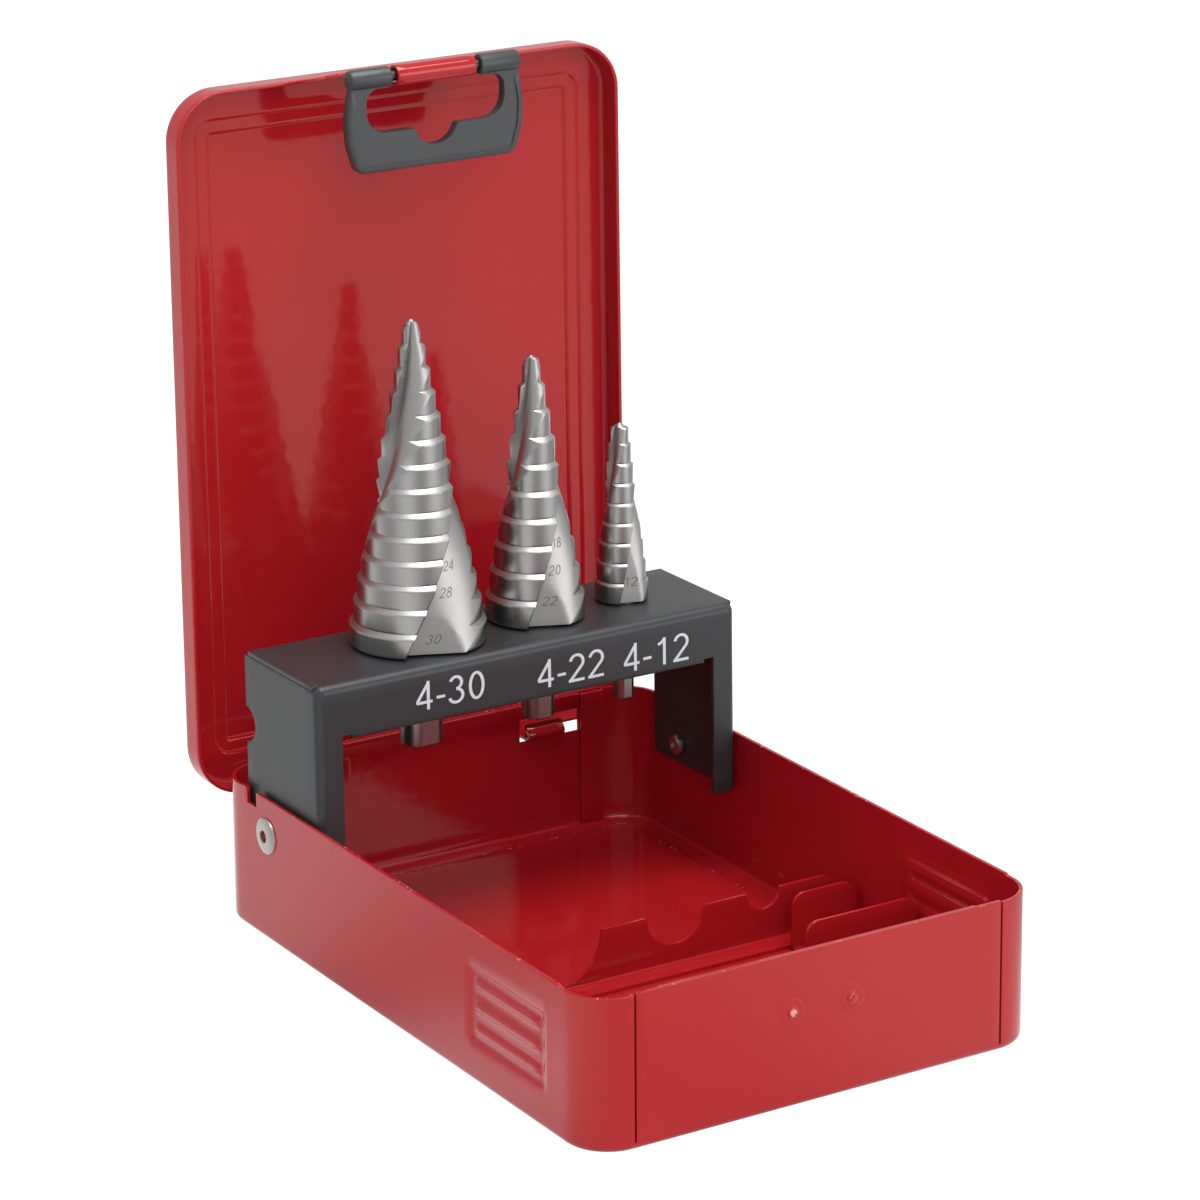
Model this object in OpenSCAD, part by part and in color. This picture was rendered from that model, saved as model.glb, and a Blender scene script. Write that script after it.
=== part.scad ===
// Drill bit case: sheet steel tray, lid and folding holder with three step bits. All sizes in mm.
// Frame: X to the right along the front, Y to the back, Z up; the origin is the bottom centre of the open case.
// Pieces are drawn about the tray's middle, the lid shut and the holder upright; the lid and holder are then
// turned to the open pose, and the whole case is shifted forward to its centre.

/* [Sheet] */
// Thickness of the red sheet
sheet = 0.8; // [0.6:0.1:1.2]
// Thickness of the holder's black sheet
holder_sheet = 1.0; // [0.8:0.1:1.5]

/* [Tray] */
// Outer width of the tray
tray_width = 109; // [100:1:130]
// Outer depth of the tray
tray_depth = 156.2; // [148:1:180]
// Height of the tray's walls
tray_height = 33; // [31:0.5:37]
// Outer radius of the tray's upright corners
tray_corner = 10; // [6:0.5:12]
// Distance from the floor panel's edge to the walls
floor_border = 6; // [4:0.5:10]
// Rise of the floor panel
floor_rise = 0.6; // [0.3:0.1:0.8]
// Distance from the outer seam of an end panel to the side of the tray
seam_inset = 10.4; // [10.1:0.1:14]
// Width of the seam gap
seam_gap = 0.5; // [0.3:0.1:0.8]
// Length of the lap behind an end panel
lap_length = 5.2; // [3:0.2:8]
// Depth of the hem folded in along the end panels' rims
hem_depth = 3.6; // [2:0.2:3.8]
// Distance from the middle to a front bump
bump_offset = 7.2; // [6:0.1:8]
// Height of the front bumps
bump_height = 20.5; // [19.5:0.1:22]
// Radius of the front bumps
bump_radius = 1.3; // [0.8:0.1:1.6]
// How far the front bumps stand out
bump_rise = 0.45; // [0.2:0.05:0.45]
// Length of the pressed finger grip
grip_length = 30; // [20:1:36]
// Height of the pressed finger grip
grip_height = 17; // [12:1:20]
// Middle of the finger grip along the depth
grip_middle = -46; // [-50:1:-30]
// Middle height of the finger grip
grip_level = 17; // [13:0.5:20]
// Depth of the finger grip
grip_depth = 0.5; // [0.2:0.1:0.8]
// Pitch of the ribs in the grip
rib_pitch = 5; // [4:0.5:6]
// Width of a rib in the grip
rib_width = 2; // [1:0.2:3]
// Distance from the rivet back to the notch in the side wall's rim
rim_notch_offset = 4.4; // [4:0.2:6]
// Width of that notch
rim_notch_width = 4.2; // [3:0.1:4.6]
// Depth of that notch
rim_notch_depth = 3.4; // [2:0.2:3.4]

/* [Hinge] */
// Height of the lid's turning axis
hinge_level = 25.5; // [24:0.1:27]
// Distance from the outer back wall to the lid's turning axis
hinge_inset = 0.1; // [0:0.05:0.3]
// Angle from shut to the open stop
open_angle = 90.7; // [85:0.1:100]
// Lower edge of the hinge windows
window_bottom = 23.2; // [22:0.1:23.3]
// Upper edge of the hinge windows
window_top = 29; // [28.8:0.1:31]
// Length of a hinge window
window_length = 15.75; // [14:0.05:22]
// Width of a hinge hook
hook_width = 9.6; // [6:0.2:12]
// Gap from the window's inner end to the hook
hook_side_gap = 1.9; // [1:0.1:6]

/* [Lid] */
// Total height of the lid
lid_height = 6.7; // [6:0.1:9]
// How far the lid comes down over the tray
lid_overlap = 1.5; // [1:0.1:4]
// Gap between lid and tray at the sides and the front
lid_gap = 0.5; // [0.3:0.1:0.8]
// Gap between lid and tray at the back
lid_back_gap = 1.1; // [1.1:0.1:1.4]
// Distance from the lid's edge to the first step
step_border = 7.3; // [5:0.1:12]
// Distance from the first step to the second
step_spacing = 3.1; // [2:0.1:6]
// Rise of each step
step_rise = 0.5; // [0.3:0.1:0.8]
// Width of the relief in the front edge, beside the catch
relief_width = 38; // [30:1:44]
// Height of that relief
relief_height = 1; // [0.5:0.1:1.4]

/* [Catch and latch] */
// Width of the catch tab and its rolled end
catch_width = 19.6; // [14:0.2:24]
// Outer radius of the rolled end
roll_radius = 2.3; // [2.1:0.1:2.6]
// Height of the pin when the lid is shut
pin_level = 18; // [17:0.1:18.2]
// Radius of the pin
pin_radius = 1.2; // [1:0.05:1.2]
// Radius of the latch's knuckles
knuckle_radius = 2.3; // [2:0.1:2.4]
// Clearance of the pin in the knuckles
pin_clearance = 0.05; // [0.01:0.01:0.1]
// Gap between the rolled end and each knuckle
knuckle_gap = 1.4; // [0.5:0.1:2]
// Width of the latch at the knuckles
latch_width = 42.4; // [38:0.2:48]
// Length of the latch from the pin to its lower edge
latch_length = 21; // [19:0.5:21.5]
// Thickness of the latch plate
latch_thickness = 2.4; // [1.6:0.1:3]
// Width of the hanging slot
slot_width = 34; // [26:0.5:36]
// Height of the hanging slot
slot_height = 9.8; // [8:0.1:11]
// Radius of the slot's middle notch
notch_radius = 5.4; // [3:0.1:6]
// Height of the rim along the latch's lower edge
rim_rise = 0.6; // [0.3:0.1:1]

/* [Holder] */
// Gap between each leg and the tray's side wall
holder_side_gap = 0.7; // [0.5:0.1:3]
// Distance from the turning axis forward to the holder's front
holder_reach = 22; // [21.5:0.1:22.5]
// Depth of the holder's top plate
holder_depth = 31; // [30:0.5:32]
// Depth of the holder's legs
leg_depth = 32.6; // [32:0.2:33]
// Height of the top plate above the tray's base
holder_top = 63.8; // [62:0.2:64]
// Height of the front beam
beam_height = 12.4; // [8:0.2:16]
// Width of the legs' front flanges
flange_width = 5.5; // [4:0.1:8]
// Distance from the turning axis down to the leg's end
leg_tail = 4.5; // [4:0.1:4.5]
// Radius of the notch in each leg's back edge
leg_notch = 4; // [2:0.2:4.5]
// Height of that notch
leg_notch_level = 47; // [40:1:50]
// Radius of the bends
bend_radius = 2; // [1.2:0.1:3]

/* [Rivets] */
// Distance from the middle of the tray back to the rivets
rivet_place = 55; // [54:0.1:56]
// Height of the rivets
rivet_level = 24.5; // [24.5:0.1:25.5]
// Radius of the rivet's shank
rivet_radius = 2; // [1.8:0.1:2.1]
// Radius of the rivet's head
rivet_head = 4.1; // [3.4:0.1:4.6]
// Thickness of the rivet's head
rivet_head_thickness = 0.9; // [0.6:0.1:1.2]
// Length of the closed end inside the leg
rivet_tail_length = 1.9; // [1.5:0.1:2.4]
// Radius of the closed end
rivet_tail = 2.5; // [2.3:0.1:3]
// Radius of the mandrel
mandrel_radius = 1.1; // [0.9:0.1:1.3]
// Clearance of the leg on the rivet
rivet_clearance = 0.08; // [0.04:0.01:0.1]

/* [Bits] */
// Distance from the turning axis forward to the bits' line
bit_offset = 5.3; // [5:0.1:6]
// Place of the largest bit along the width
large_place = -18.7; // [-20:0.1:-18]
// Place of the middle bit
middle_place = 11.1; // [10:0.1:12]
// Place of the small bit
small_place = 33.6; // [33:0.1:35]
// Smallest diameter of each bit
first_diameter = 4; // [3:0.5:4]
// Largest diameter of the largest bit
large_diameter = 30; // [28:1:30]
// Largest diameter of the middle bit
middle_diameter = 22; // [20:1:22]
// Largest diameter of the small bit
small_diameter = 12; // [10:1:12]
// Number of steps of the largest bit
large_steps = 14; // [10:1:14]
// Number of steps of the middle bit
middle_steps = 10; // [8:1:10]
// Number of steps of the small bit
small_steps = 9; // [6:1:9]
// Length of the largest bit above the holder
large_length = 72.3; // [66:0.5:74]
// Length of the middle bit above the holder
middle_length = 59.8; // [54:0.5:62]
// Length of the small bit above the holder
small_length = 40.9; // [36:0.5:44]
// Shank diameter of the largest bit
large_shank = 10; // [8:0.5:10]
// Shank diameter of the middle bit
middle_shank = 7.6; // [6:0.1:8]
// Shank diameter of the small bit
small_shank = 5; // [4:0.1:6]
// Direction of the large bit's flute at its base, from the right
large_turn = -130; // [-180:1:180]
// Direction of the middle bit's flute at its base, from the right
middle_turn = -130; // [-180:1:180]
// Direction of the small bit's flute at its base, from the right
small_turn = -125; // [-180:1:180]
// Turn of the flutes per millimetre of length
flute_twist = 1.9; // [0:0.1:2.2]
// Depth of a flute as a share of the radius
flute_depth = 0.19; // [0.12:0.01:0.24]
// Width of a flute around the bit
flute_width = 66; // [50:1:70]
// Depth the flutes keep at the tip, as a share of the base's
tip_depth = 0.6; // [0.5:0.05:0.9]
// Rise of the collar that a bit stands on
collar_rise = 0.6; // [0.2:0.1:1]
// Bevel between two steps, as a share of a step's length
bevel_share = 0.25; // [0.15:0.01:0.3]
// Height of the point as a share of its radius
point_ratio = 0.6; // [0.4:0.05:1]
// Length of the shanks below the top plate
shank_length = 23; // [18:0.5:25]
// Clearance of the shanks in the top plate's holes
shank_clearance = 0.1; // [0.05:0.01:0.1]

/* [Cradle and divider] */
// Place of the cradle's upright plate along the depth
cradle_place = -6; // [-8:0.5:-4]
// Height of the cradle's top edge
cradle_top = 13.6; // [12:0.2:14]
// Radius of the large scallop
large_scallop = 11.6; // [11:0.1:12]
// Radius of the middle scallop
middle_scallop = 7.4; // [7:0.1:9]
// Radius of the small scallop
small_scallop = 4.4; // [3:0.1:6]
// Depth of the cradle's foot
cradle_foot = 6.4; // [5:0.2:7]
// Place of the divider's back plate
divider_back = -14; // [-16:0.5:-13.5]
// Place of the divider's front plate
divider_front = -35; // [-40:0.5:-30]
// Height of the divider's back plate
divider_back_top = 14.4; // [12:0.2:14.6]
// Height of the divider's front plate
divider_front_top = 18.2; // [14:0.2:20]
// Length of the divider's back plate
divider_back_length = 16.2; // [14:0.2:20]
// Length of the divider's front plate
divider_front_length = 28.1; // [22:0.1:30]
// Gap between the divider and the tray's side wall
divider_side_gap = 1.1; // [0.5:0.1:6]

/* [Hidden] */
// Facets asked of the round forms, which the exact rebuild turns into true curves
$fn = 64;
// Small overlap that lets cuts break through
cut = 1;
half_w = tray_width / 2;
half_d = tray_depth / 2;
inner_w = half_w - sheet;
inner_d = half_d - sheet;
floor_top = sheet + floor_rise;
hinge_y = half_d - hinge_inset;
lean = open_angle - 90;
lid_bottom = tray_height - lid_overlap;
lid_top = lid_bottom + lid_height;
lid_w = half_w + lid_gap + sheet;
lid_front = -half_d - lid_gap - sheet;
lid_back = half_d + lid_back_gap + sheet;
lid_corner = tray_corner + lid_gap + sheet;
panel_edge = 2;
pin_y = lid_front + sheet - roll_radius;
roll_inner = roll_radius - sheet;
window_end = half_w - seam_inset - lap_length - seam_gap / 2;
window_start = window_end - window_length;
hook_start = window_start + hook_side_gap;
bend_center = [lid_back - sheet - 0.6, hinge_level - 0.4];
hook_outer = sheet + 0.6;
hook_tip = 2.2;
holder_half = inner_w - holder_side_gap;
leg_inner = holder_half - holder_sheet;
holder_front = rivet_place - holder_reach;
leg_bottom = rivet_level - leg_tail;
bit_line = rivet_place - bit_offset;
pin_half = latch_width / 2 - 4;
knuckle_start = catch_width / 2 + knuckle_gap;
scallop_floor = floor_top + sheet;
divider_right = inner_w - divider_side_gap;
divider_back_left = divider_right - divider_back_length;
divider_front_left = divider_right - divider_front_length;
flute_count = 2;

// Shifts a piece from the tray's middle to the case's centre
module placed() {
    translate([0, -centre_y, 0]) children();
}

// Turns a piece drawn shut with the lid to its open pose
module opened() {
    translate([0, hinge_y, hinge_level])
        rotate([-open_angle, 0, 0])
            translate([0, -hinge_y, -hinge_level]) children();
}

// Leans a piece drawn upright in the holder back with the holder
module leaned() {
    translate([0, rivet_place, rivet_level])
        rotate([-lean, 0, 0])
            translate([0, -rivet_place, -rivet_level]) children();
}

// Place of a point of the shut lid when the lid is open
function opened_y(y, z) =
    hinge_y + (y - hinge_y) * cos(open_angle) + (z - hinge_level) * sin(open_angle);
function opened_z(y, z) =
    hinge_level - (y - hinge_y) * sin(open_angle) + (z - hinge_level) * cos(open_angle);

// Middle of the open case along the depth, between the front bumps and the back of the lid's panel
centre_y = (opened_y(lid_front + step_border + step_spacing, lid_top + 2 * step_rise) - half_d - bump_rise) / 2;

// Rounded block between two opposite corners
module slab(low, high, radius) {
    height = high[2] - low[2];
    translate([0, 0, low[2]]) linear_extrude(height) union() {
        translate([low[0] + radius, low[1]]) square([high[0] - low[0] - 2 * radius, high[1] - low[1]]);
        translate([low[0], low[1] + radius]) square([high[0] - low[0], high[1] - low[1] - 2 * radius]);
        for (x = [low[0] + radius, high[0] - radius], y = [low[1] + radius, high[1] - radius])
            translate([x, y]) circle(radius);
    }
}

// Bar along X with a section drawn in Y and Z
module along_x(start, length) {
    translate([start, 0, 0]) rotate([90, 0, 90]) linear_extrude(length) children();
}

// Block between two opposite corners
module box(low, high) {
    translate(low) cube([high[0] - low[0], high[1] - low[1], high[2] - low[2]]);
}

// Rod along X
module rod(start, length, y, z, radius) {
    translate([start, y, z]) rotate([0, 90, 0]) cylinder(h = length, r = radius);
}

// ---- tray
module tray_walls() {
    difference() {
        slab([-half_w, -half_d, 0], [half_w, half_d, tray_height], tray_corner);
        slab([-inner_w, -inner_d, sheet], [inner_w, inner_d, tray_height + cut], tray_corner - sheet);
        slab([-inner_w + floor_border, -inner_d + floor_border, -cut],
             [inner_w - floor_border, inner_d - floor_border, sheet + cut], panel_edge);
    }
}

module floor_panel() {
    difference() {
        slab([-inner_w + floor_border - sheet, -inner_d + floor_border - sheet, 0],
             [inner_w - floor_border + sheet, inner_d - floor_border + sheet, floor_top], panel_edge + sheet);
        slab([-inner_w + floor_border, -inner_d + floor_border, -cut],
             [inner_w - floor_border, inner_d - floor_border, floor_rise], panel_edge);
    }
}

// Seam gap and the lap behind an end panel, for the front right corner
module seam_cut() {
    box([half_w - seam_inset - seam_gap / 2, -half_d - cut, sheet],
        [half_w - seam_inset + seam_gap / 2, -inner_d, tray_height + cut]);
}

module lap() {
    box([half_w - seam_inset - lap_length, -inner_d, sheet],
        [half_w - seam_inset + sheet, -inner_d + sheet, tray_height - sheet / 2]);
}

module hem() {
    end = half_w - seam_inset - lap_length - seam_gap;
    box([-end, -inner_d, tray_height - hem_depth], [end, -inner_d + sheet, tray_height]);
}

module both_ends() {
    for (x = [0, 1], y = [0, 1]) mirror([x, 0, 0]) mirror([0, y, 0]) children();
}

// Finger grip pressed into the right wall
module grip_outline(x0, x1, grow) {
    box([x0, grip_middle - grip_length / 2 - grow, grip_level - grip_height / 2 - grow],
        [x1, grip_middle + grip_length / 2 + grow, grip_level + grip_height / 2 + grow]);
}

module grip_ribs(x0, x1, grow) {
    for (i = [-1, 0, 1])
        box([x0, grip_middle - grip_length / 2 + rib_width, grip_level + i * rib_pitch - rib_width / 2 - grow],
            [x1, grip_middle + grip_length / 2 - rib_width, grip_level + i * rib_pitch + rib_width / 2 + grow]);
}

module grip_cut() {
    difference() {
        grip_outline(half_w - grip_depth, half_w + cut, 0);
        grip_ribs(half_w - 2 * cut, half_w + 2 * cut, 0);
    }
}

module grip_back() {
    difference() {
        grip_outline(inner_w - grip_depth, inner_w, sheet / 2);
        grip_ribs(inner_w - 2 * cut, inner_w, -sheet / 4);
    }
}

module bump() {
    // Cap of a ball that stands out from the front panel
    ball = (bump_radius * bump_radius + bump_rise * bump_rise) / (2 * bump_rise);
    intersection() {
        translate([bump_offset, -half_d - bump_rise + ball, bump_height]) sphere(ball);
        box([bump_offset - ball, -half_d - bump_rise - cut, bump_height - ball],
            [bump_offset + ball, -half_d + sheet / 2, bump_height + ball]);
    }
}

// Notch in a side wall's rim by the holder's back edge
module rim_notch() {
    start = rivet_place + rim_notch_offset;
    box([inner_w - cut, start, tray_height - rim_notch_depth],
        [half_w + cut, start + rim_notch_width, tray_height + cut]);
}

module base_tray() placed() color("#a31421") {
    difference() {
        union() {
            tray_walls();
            floor_panel();
            both_ends() lap();
            for (y = [0, 1]) mirror([0, y, 0]) hem();
            for (side = [0, 1]) mirror([side, 0, 0]) {
                grip_back();
                bump();
            }
        }
        both_ends() seam_cut();
        for (side = [0, 1]) mirror([side, 0, 0]) {
            grip_cut();
            rim_notch();
            box([window_start, inner_d - cut, window_bottom], [window_end, half_d + cut, window_top]);
            rod(inner_w - cut, sheet + 2 * cut, rivet_place, rivet_level, rivet_radius);
        }
    }
}

// ---- cradle and divider
module bit_cradle() placed() color("#a31421") {
    difference() {
        union() {
            box([-inner_w + sheet, cradle_place - sheet, floor_top],
                [inner_w - 2.2, cradle_place, cradle_top]);
            box([-inner_w + sheet, cradle_place - cradle_foot, floor_top],
                [inner_w - 2.2, cradle_place, floor_top + sheet]);
        }
        scallop(large_place, min(large_scallop, cradle_top - scallop_floor));
        scallop(middle_place, middle_scallop);
        scallop(small_place, small_scallop);
    }
}

module scallop(place, radius) {
    translate([place, cradle_place + cut, cradle_top]) rotate([90, 0, 0]) cylinder(h = sheet + 2 * cut, r = radius);
}

// Upright plate with rounded upper corners
module upright(left, right, place, top) {
    radius = 3;
    box([left, place - sheet, floor_top], [right, place, top - radius]);
    box([left + radius, place - sheet, floor_top], [right - radius, place, top]);
    for (x = [left + radius, right - radius])
        translate([x, place, top - radius]) rotate([90, 0, 0]) cylinder(h = sheet, r = radius);
}

module divider_channel() placed() color("#a31421") {
    upright(divider_back_left, divider_right, divider_back, divider_back_top);
    upright(divider_front_left, divider_right, divider_front, divider_front_top);
    box([divider_back_left, divider_front - sheet, floor_top], [divider_right, divider_back, floor_top + sheet]);
}

// ---- lid
module lid_shell() {
    difference() {
        union() {
            slab([-lid_w, lid_front, lid_bottom], [lid_w, lid_back, lid_top], lid_corner);
            lid_step(step_border, step_rise, 0);
            lid_step(step_border + step_spacing, 2 * step_rise, 0);
        }
        slab([-lid_w + sheet, lid_front + sheet, lid_bottom - cut],
             [lid_w - sheet, lid_back - sheet, lid_top - sheet], lid_corner - sheet);
        lid_step(step_border + sheet, step_rise - sheet, cut);
        lid_step(step_border + step_spacing + sheet, 2 * step_rise - sheet, cut);
    }
}

module lid_step(border, rise, depth) {
    slab([-lid_w + border, lid_front + border, lid_top - sheet - depth],
         [lid_w - border, lid_back - border, lid_top + rise], panel_edge);
}

// Catch tab with its rolled end around the pin
module catch_tab() {
    start = -catch_width / 2;
    box([start, lid_front, pin_level], [-start, lid_front + sheet, lid_bottom + relief_height + sheet]);
    difference() {
        rod(start, catch_width, pin_y, pin_level, roll_radius);
        rod(start - cut, catch_width + 2 * cut, pin_y, pin_level, roll_inner);
        box([start - cut, pin_y, pin_level], [-start + cut, lid_front, lid_bottom]);
    }
}

// Hinge hook that goes through the window and turns up behind the wall
module hinge_hook() {
    y0 = bend_center[0];
    z0 = bend_center[1];
    box([hook_start, lid_back - sheet, z0], [hook_start + hook_width, lid_back, lid_bottom + sheet]);
    difference() {
        rod(hook_start, hook_width, y0, z0, hook_outer);
        rod(hook_start - cut, hook_width + 2 * cut, y0, z0, hook_outer - sheet);
        translate([hook_start - cut, y0, z0]) {
            cube([hook_width + 2 * cut, 2 * hook_outer, 2 * hook_outer]);
            rotate([45, 0, 0]) cube([hook_width + 2 * cut, 2 * hook_outer, 2 * hook_outer]);
        }
    }
    translate([hook_start, y0, z0]) rotate([45, 0, 0])
        translate([0, -hook_outer, 0]) cube([hook_width, sheet, hook_tip]);
}

module lid() placed() color("#a31421") opened() {
    difference() {
        lid_shell();
        box([-relief_width / 2, lid_front - cut, lid_bottom - cut],
            [relief_width / 2, lid_front + sheet + cut, lid_bottom + relief_height]);
    }
    catch_tab();
    for (side = [0, 1]) mirror([side, 0, 0]) hinge_hook();
}

// ---- latch, drawn hanging from the pin at the origin
module hung() {
    translate([0, opened_y(pin_y, pin_level), opened_z(pin_y, pin_level)]) children();
}

module latch_outline() {
    radius = 4;
    half = latch_width / 2;
    difference() {
        translate([-half, -latch_length]) square([latch_width, latch_length]);
        for (side = [-1, 1]) translate([side * half, -latch_length])
            rotate(side > 0 ? 90 : 0) difference() {
                square([radius, radius]);
                translate([radius, radius]) circle(radius);
            }
    }
}

module hanging_slot() {
    end = slot_height / 2;
    middle = -knuckle_radius - end;
    bottom = middle - end;
    union() {
        translate([-slot_width / 2 + end, bottom]) square([slot_width - slot_height, slot_height]);
        for (side = [-1, 1]) translate([side * (slot_width / 2 - end), middle]) circle(end);
        translate([0, bottom + notch_radius - 4]) circle(notch_radius);
    }
}

module latch_body() {
    half = latch_width / 2;
    difference() {
        union() {
            translate([0, latch_thickness / 2, 0]) rotate([90, 0, 0]) linear_extrude(latch_thickness)
                difference() {
                    latch_outline();
                    hanging_slot();
                    translate([-knuckle_start, -knuckle_radius - 0.4])
                        square([2 * knuckle_start, 2 * knuckle_radius]);
                }
            translate([-half + 4, -latch_thickness / 2 - rim_rise, -latch_length])
                cube([latch_width - 8, latch_thickness, 1]);
            for (side = [0, 1]) mirror([side, 0, 0])
                rod(knuckle_start, half - knuckle_start, 0, 0, knuckle_radius);
        }
        rod(-pin_half, 2 * pin_half, 0, 0, pin_radius + pin_clearance);
    }
}

module latch() placed() color("#4b4e50") hung() latch_body();

module latch_pin() placed() color("#3a3c3e") hung() rod(-pin_half, 2 * pin_half, 0, 0, pin_radius);

// ---- holder, drawn upright
module bend_block(low, high) {
    // Block whose upright front corners and front top edge are rounded
    height = high[2] - low[2];
    r = bend_radius;
    translate([0, 0, low[2]]) linear_extrude(height) union() {
        translate([low[0], low[1] + r]) square([high[0] - low[0], high[1] - low[1] - r]);
        translate([low[0] + r, low[1]]) square([high[0] - low[0] - 2 * r, r]);
        for (x = [low[0] + r, high[0] - r]) translate([x, low[1] + r]) circle(r);
    }
}

module holder_solid() {
    back = holder_front + leg_depth;
    difference() {
        bend_block([-holder_half, holder_front, leg_bottom], [holder_half, back, holder_top]);
        translate([0, 0, 0]) bend_inside(back);
        holder_window();
        for (side = [0, 1]) mirror([side, 0, 0]) {
            seam_at_top(back);
            translate([leg_inner - cut, back, leg_notch_level]) rotate([0, 90, 0])
                cylinder(h = holder_sheet + 2 * cut, r = leg_notch);
            rod(leg_inner - cut, holder_sheet + 2 * cut, rivet_place, rivet_level,
                rivet_radius + rivet_clearance);
        }
        box([-leg_inner, holder_front + holder_depth, holder_top - 2 * holder_sheet],
            [leg_inner, back + cut, holder_top + cut]);
        bit_hole(large_place, large_shank);
        bit_hole(middle_place, middle_shank);
        bit_hole(small_place, small_shank);
    }
}

module bend_inside(back) {
    r = bend_radius - holder_sheet;
    y0 = holder_front + holder_sheet;
    translate([0, 0, leg_bottom - cut]) linear_extrude(holder_top - holder_sheet - leg_bottom + cut) union() {
        translate([-leg_inner, y0 + r]) square([2 * leg_inner, back - y0 - r + cut]);
        translate([-leg_inner + r, y0]) square([2 * (leg_inner - r), r]);
        for (side = [-1, 1]) translate([side * (leg_inner - r), y0 + r]) circle(r);
    }
}

// Opening under the front beam
module holder_window() {
    edge = holder_half - flange_width;
    beam_bottom = holder_top - beam_height;
    box([-edge, holder_front - cut, leg_bottom - cut], [edge, holder_front + bend_radius, beam_bottom]);
    for (side = [0, 1]) mirror([side, 0, 0])
        box([edge - 3, holder_front - cut, leg_bottom], [edge, holder_front + bend_radius, beam_bottom + 0.8]);
}

module seam_at_top(back) {
    // Gap between the top plate and the leg's upper edge
    box([leg_inner - cut / 2, holder_front + bend_radius, holder_top - holder_sheet - 0.4],
        [holder_half + cut, back + cut, holder_top - holder_sheet]);
    box([leg_inner, holder_front + holder_depth, holder_top - holder_sheet - cut / 2],
        [holder_half + cut, back + cut, holder_top + cut]);
}

module bit_hole(place, shank) {
    translate([place, bit_line, holder_top - 2 * holder_sheet])
        cylinder(h = 3 * holder_sheet, r = shank / 2 + shank_clearance);
}

module bit_holder() placed() color("#3c3e40") leaned() holder_solid();

// ---- rivets, drawn for the right side
module rivet_body() {
    difference() {
        union() {
            rod(half_w, rivet_head_thickness, rivet_place, rivet_level, rivet_head);
            rod(leg_inner - rivet_tail_length / 2, half_w - leg_inner + rivet_tail_length / 2,
                rivet_place, rivet_level, rivet_radius);
            rod(leg_inner - rivet_tail_length, rivet_tail_length - 0.1, rivet_place, rivet_level, rivet_tail);
        }
        rod(leg_inner - rivet_tail_length + 0.6, half_w, rivet_place, rivet_level, mandrel_radius);
    }
}

module mandrel() {
    rod(leg_inner - rivet_tail_length + 0.6, 3.2, rivet_place, rivet_level, mandrel_radius);
}

module rivet_right() placed() color("#c9c9c9") rivet_body();

module rivet_left() placed() color("#c9c9c9") mirror([1, 0, 0]) rivet_body();

module mandrel_right() placed() color("#8a8a8a") mandrel();

module mandrel_left() placed() color("#8a8a8a") mirror([1, 0, 0]) mandrel();

// ---- bits
module stepped(base, steps, length) {
    pitch = length / steps;
    drop = (base - first_diameter) / 2 / (steps - 1);
    slope = min(drop, bevel_share * pitch);
    point = first_diameter / 2 * point_ratio;
    bands = [for (i = [0 : steps - 2], top = [0, 1])
        [base / 2 - (i + top) * drop, (i + 1) * pitch - (1 - top) * slope]];
    rotate_extrude() polygon(concat([[0, 0], [base / 2, 0]], bands,
        [[first_diameter / 2, length - point], [0.1, length], [0, length]]));
}

// Twisted groove with a steep wall at its start and a flat floor that runs out; it narrows with the bit
module flute(base, length, start) {
    r = base / 2;
    floor_start = 1 - flute_depth;
    run_x = cos(flute_width);
    run_y = sin(flute_width);
    past = 1.6;
    below = 0.5;
    tip_share = first_diameter / base * tip_depth;
    high = length + below;
    rotate(start - below * flute_twist) translate([0, 0, -below])
        linear_extrude(high, twist = -high * flute_twist, scale = tip_share, slices = 30, $fn = 8)
            polygon([[floor_start * r, 0], [past * r, 0], [past * r, past * r],
                     [(floor_start + past * (run_x - floor_start)) * r, past * run_y * r]]);
}

module shank_with_flats(diameter) {
    r = diameter / 2;
    flat_top = -4;
    cylinder(h = collar_rise, r = r + 1);
    difference() {
        translate([0, 0, -shank_length]) cylinder(h = shank_length + collar_rise, r = r);
        for (angle = [30, 150, 270]) rotate(angle)
            translate([0.91 * r, -r, -shank_length - cut]) cube([r, 2 * r, shank_length + cut + flat_top]);
    }
}

module step_bit(place, base, steps, length, shank, start) {
    leaned() translate([place, bit_line, holder_top]) {
        translate([0, 0, collar_rise]) difference() {
            stepped(base, steps, length - collar_rise);
            for (k = [1 : flute_count]) flute(base, length - collar_rise, start + 360 / flute_count * k);
        }
        shank_with_flats(shank);
    }
}

module step_bit_30() placed() color("#bebcb9")
    step_bit(large_place, large_diameter, large_steps, large_length, large_shank, large_turn);

module step_bit_22() placed() color("#bebcb9")
    step_bit(middle_place, middle_diameter, middle_steps, middle_length, middle_shank, middle_turn);

module step_bit_12() placed() color("#bebcb9")
    step_bit(small_place, small_diameter, small_steps, small_length, small_shank, small_turn);

base_tray();
bit_cradle();
divider_channel();
lid();
latch();
latch_pin();
bit_holder();
rivet_left();
rivet_right();
mandrel_left();
mandrel_right();
step_bit_30();
step_bit_22();
step_bit_12();
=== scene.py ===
import math

import bmesh
import bpy
import numpy as np
from mathutils import Matrix, Vector


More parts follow.
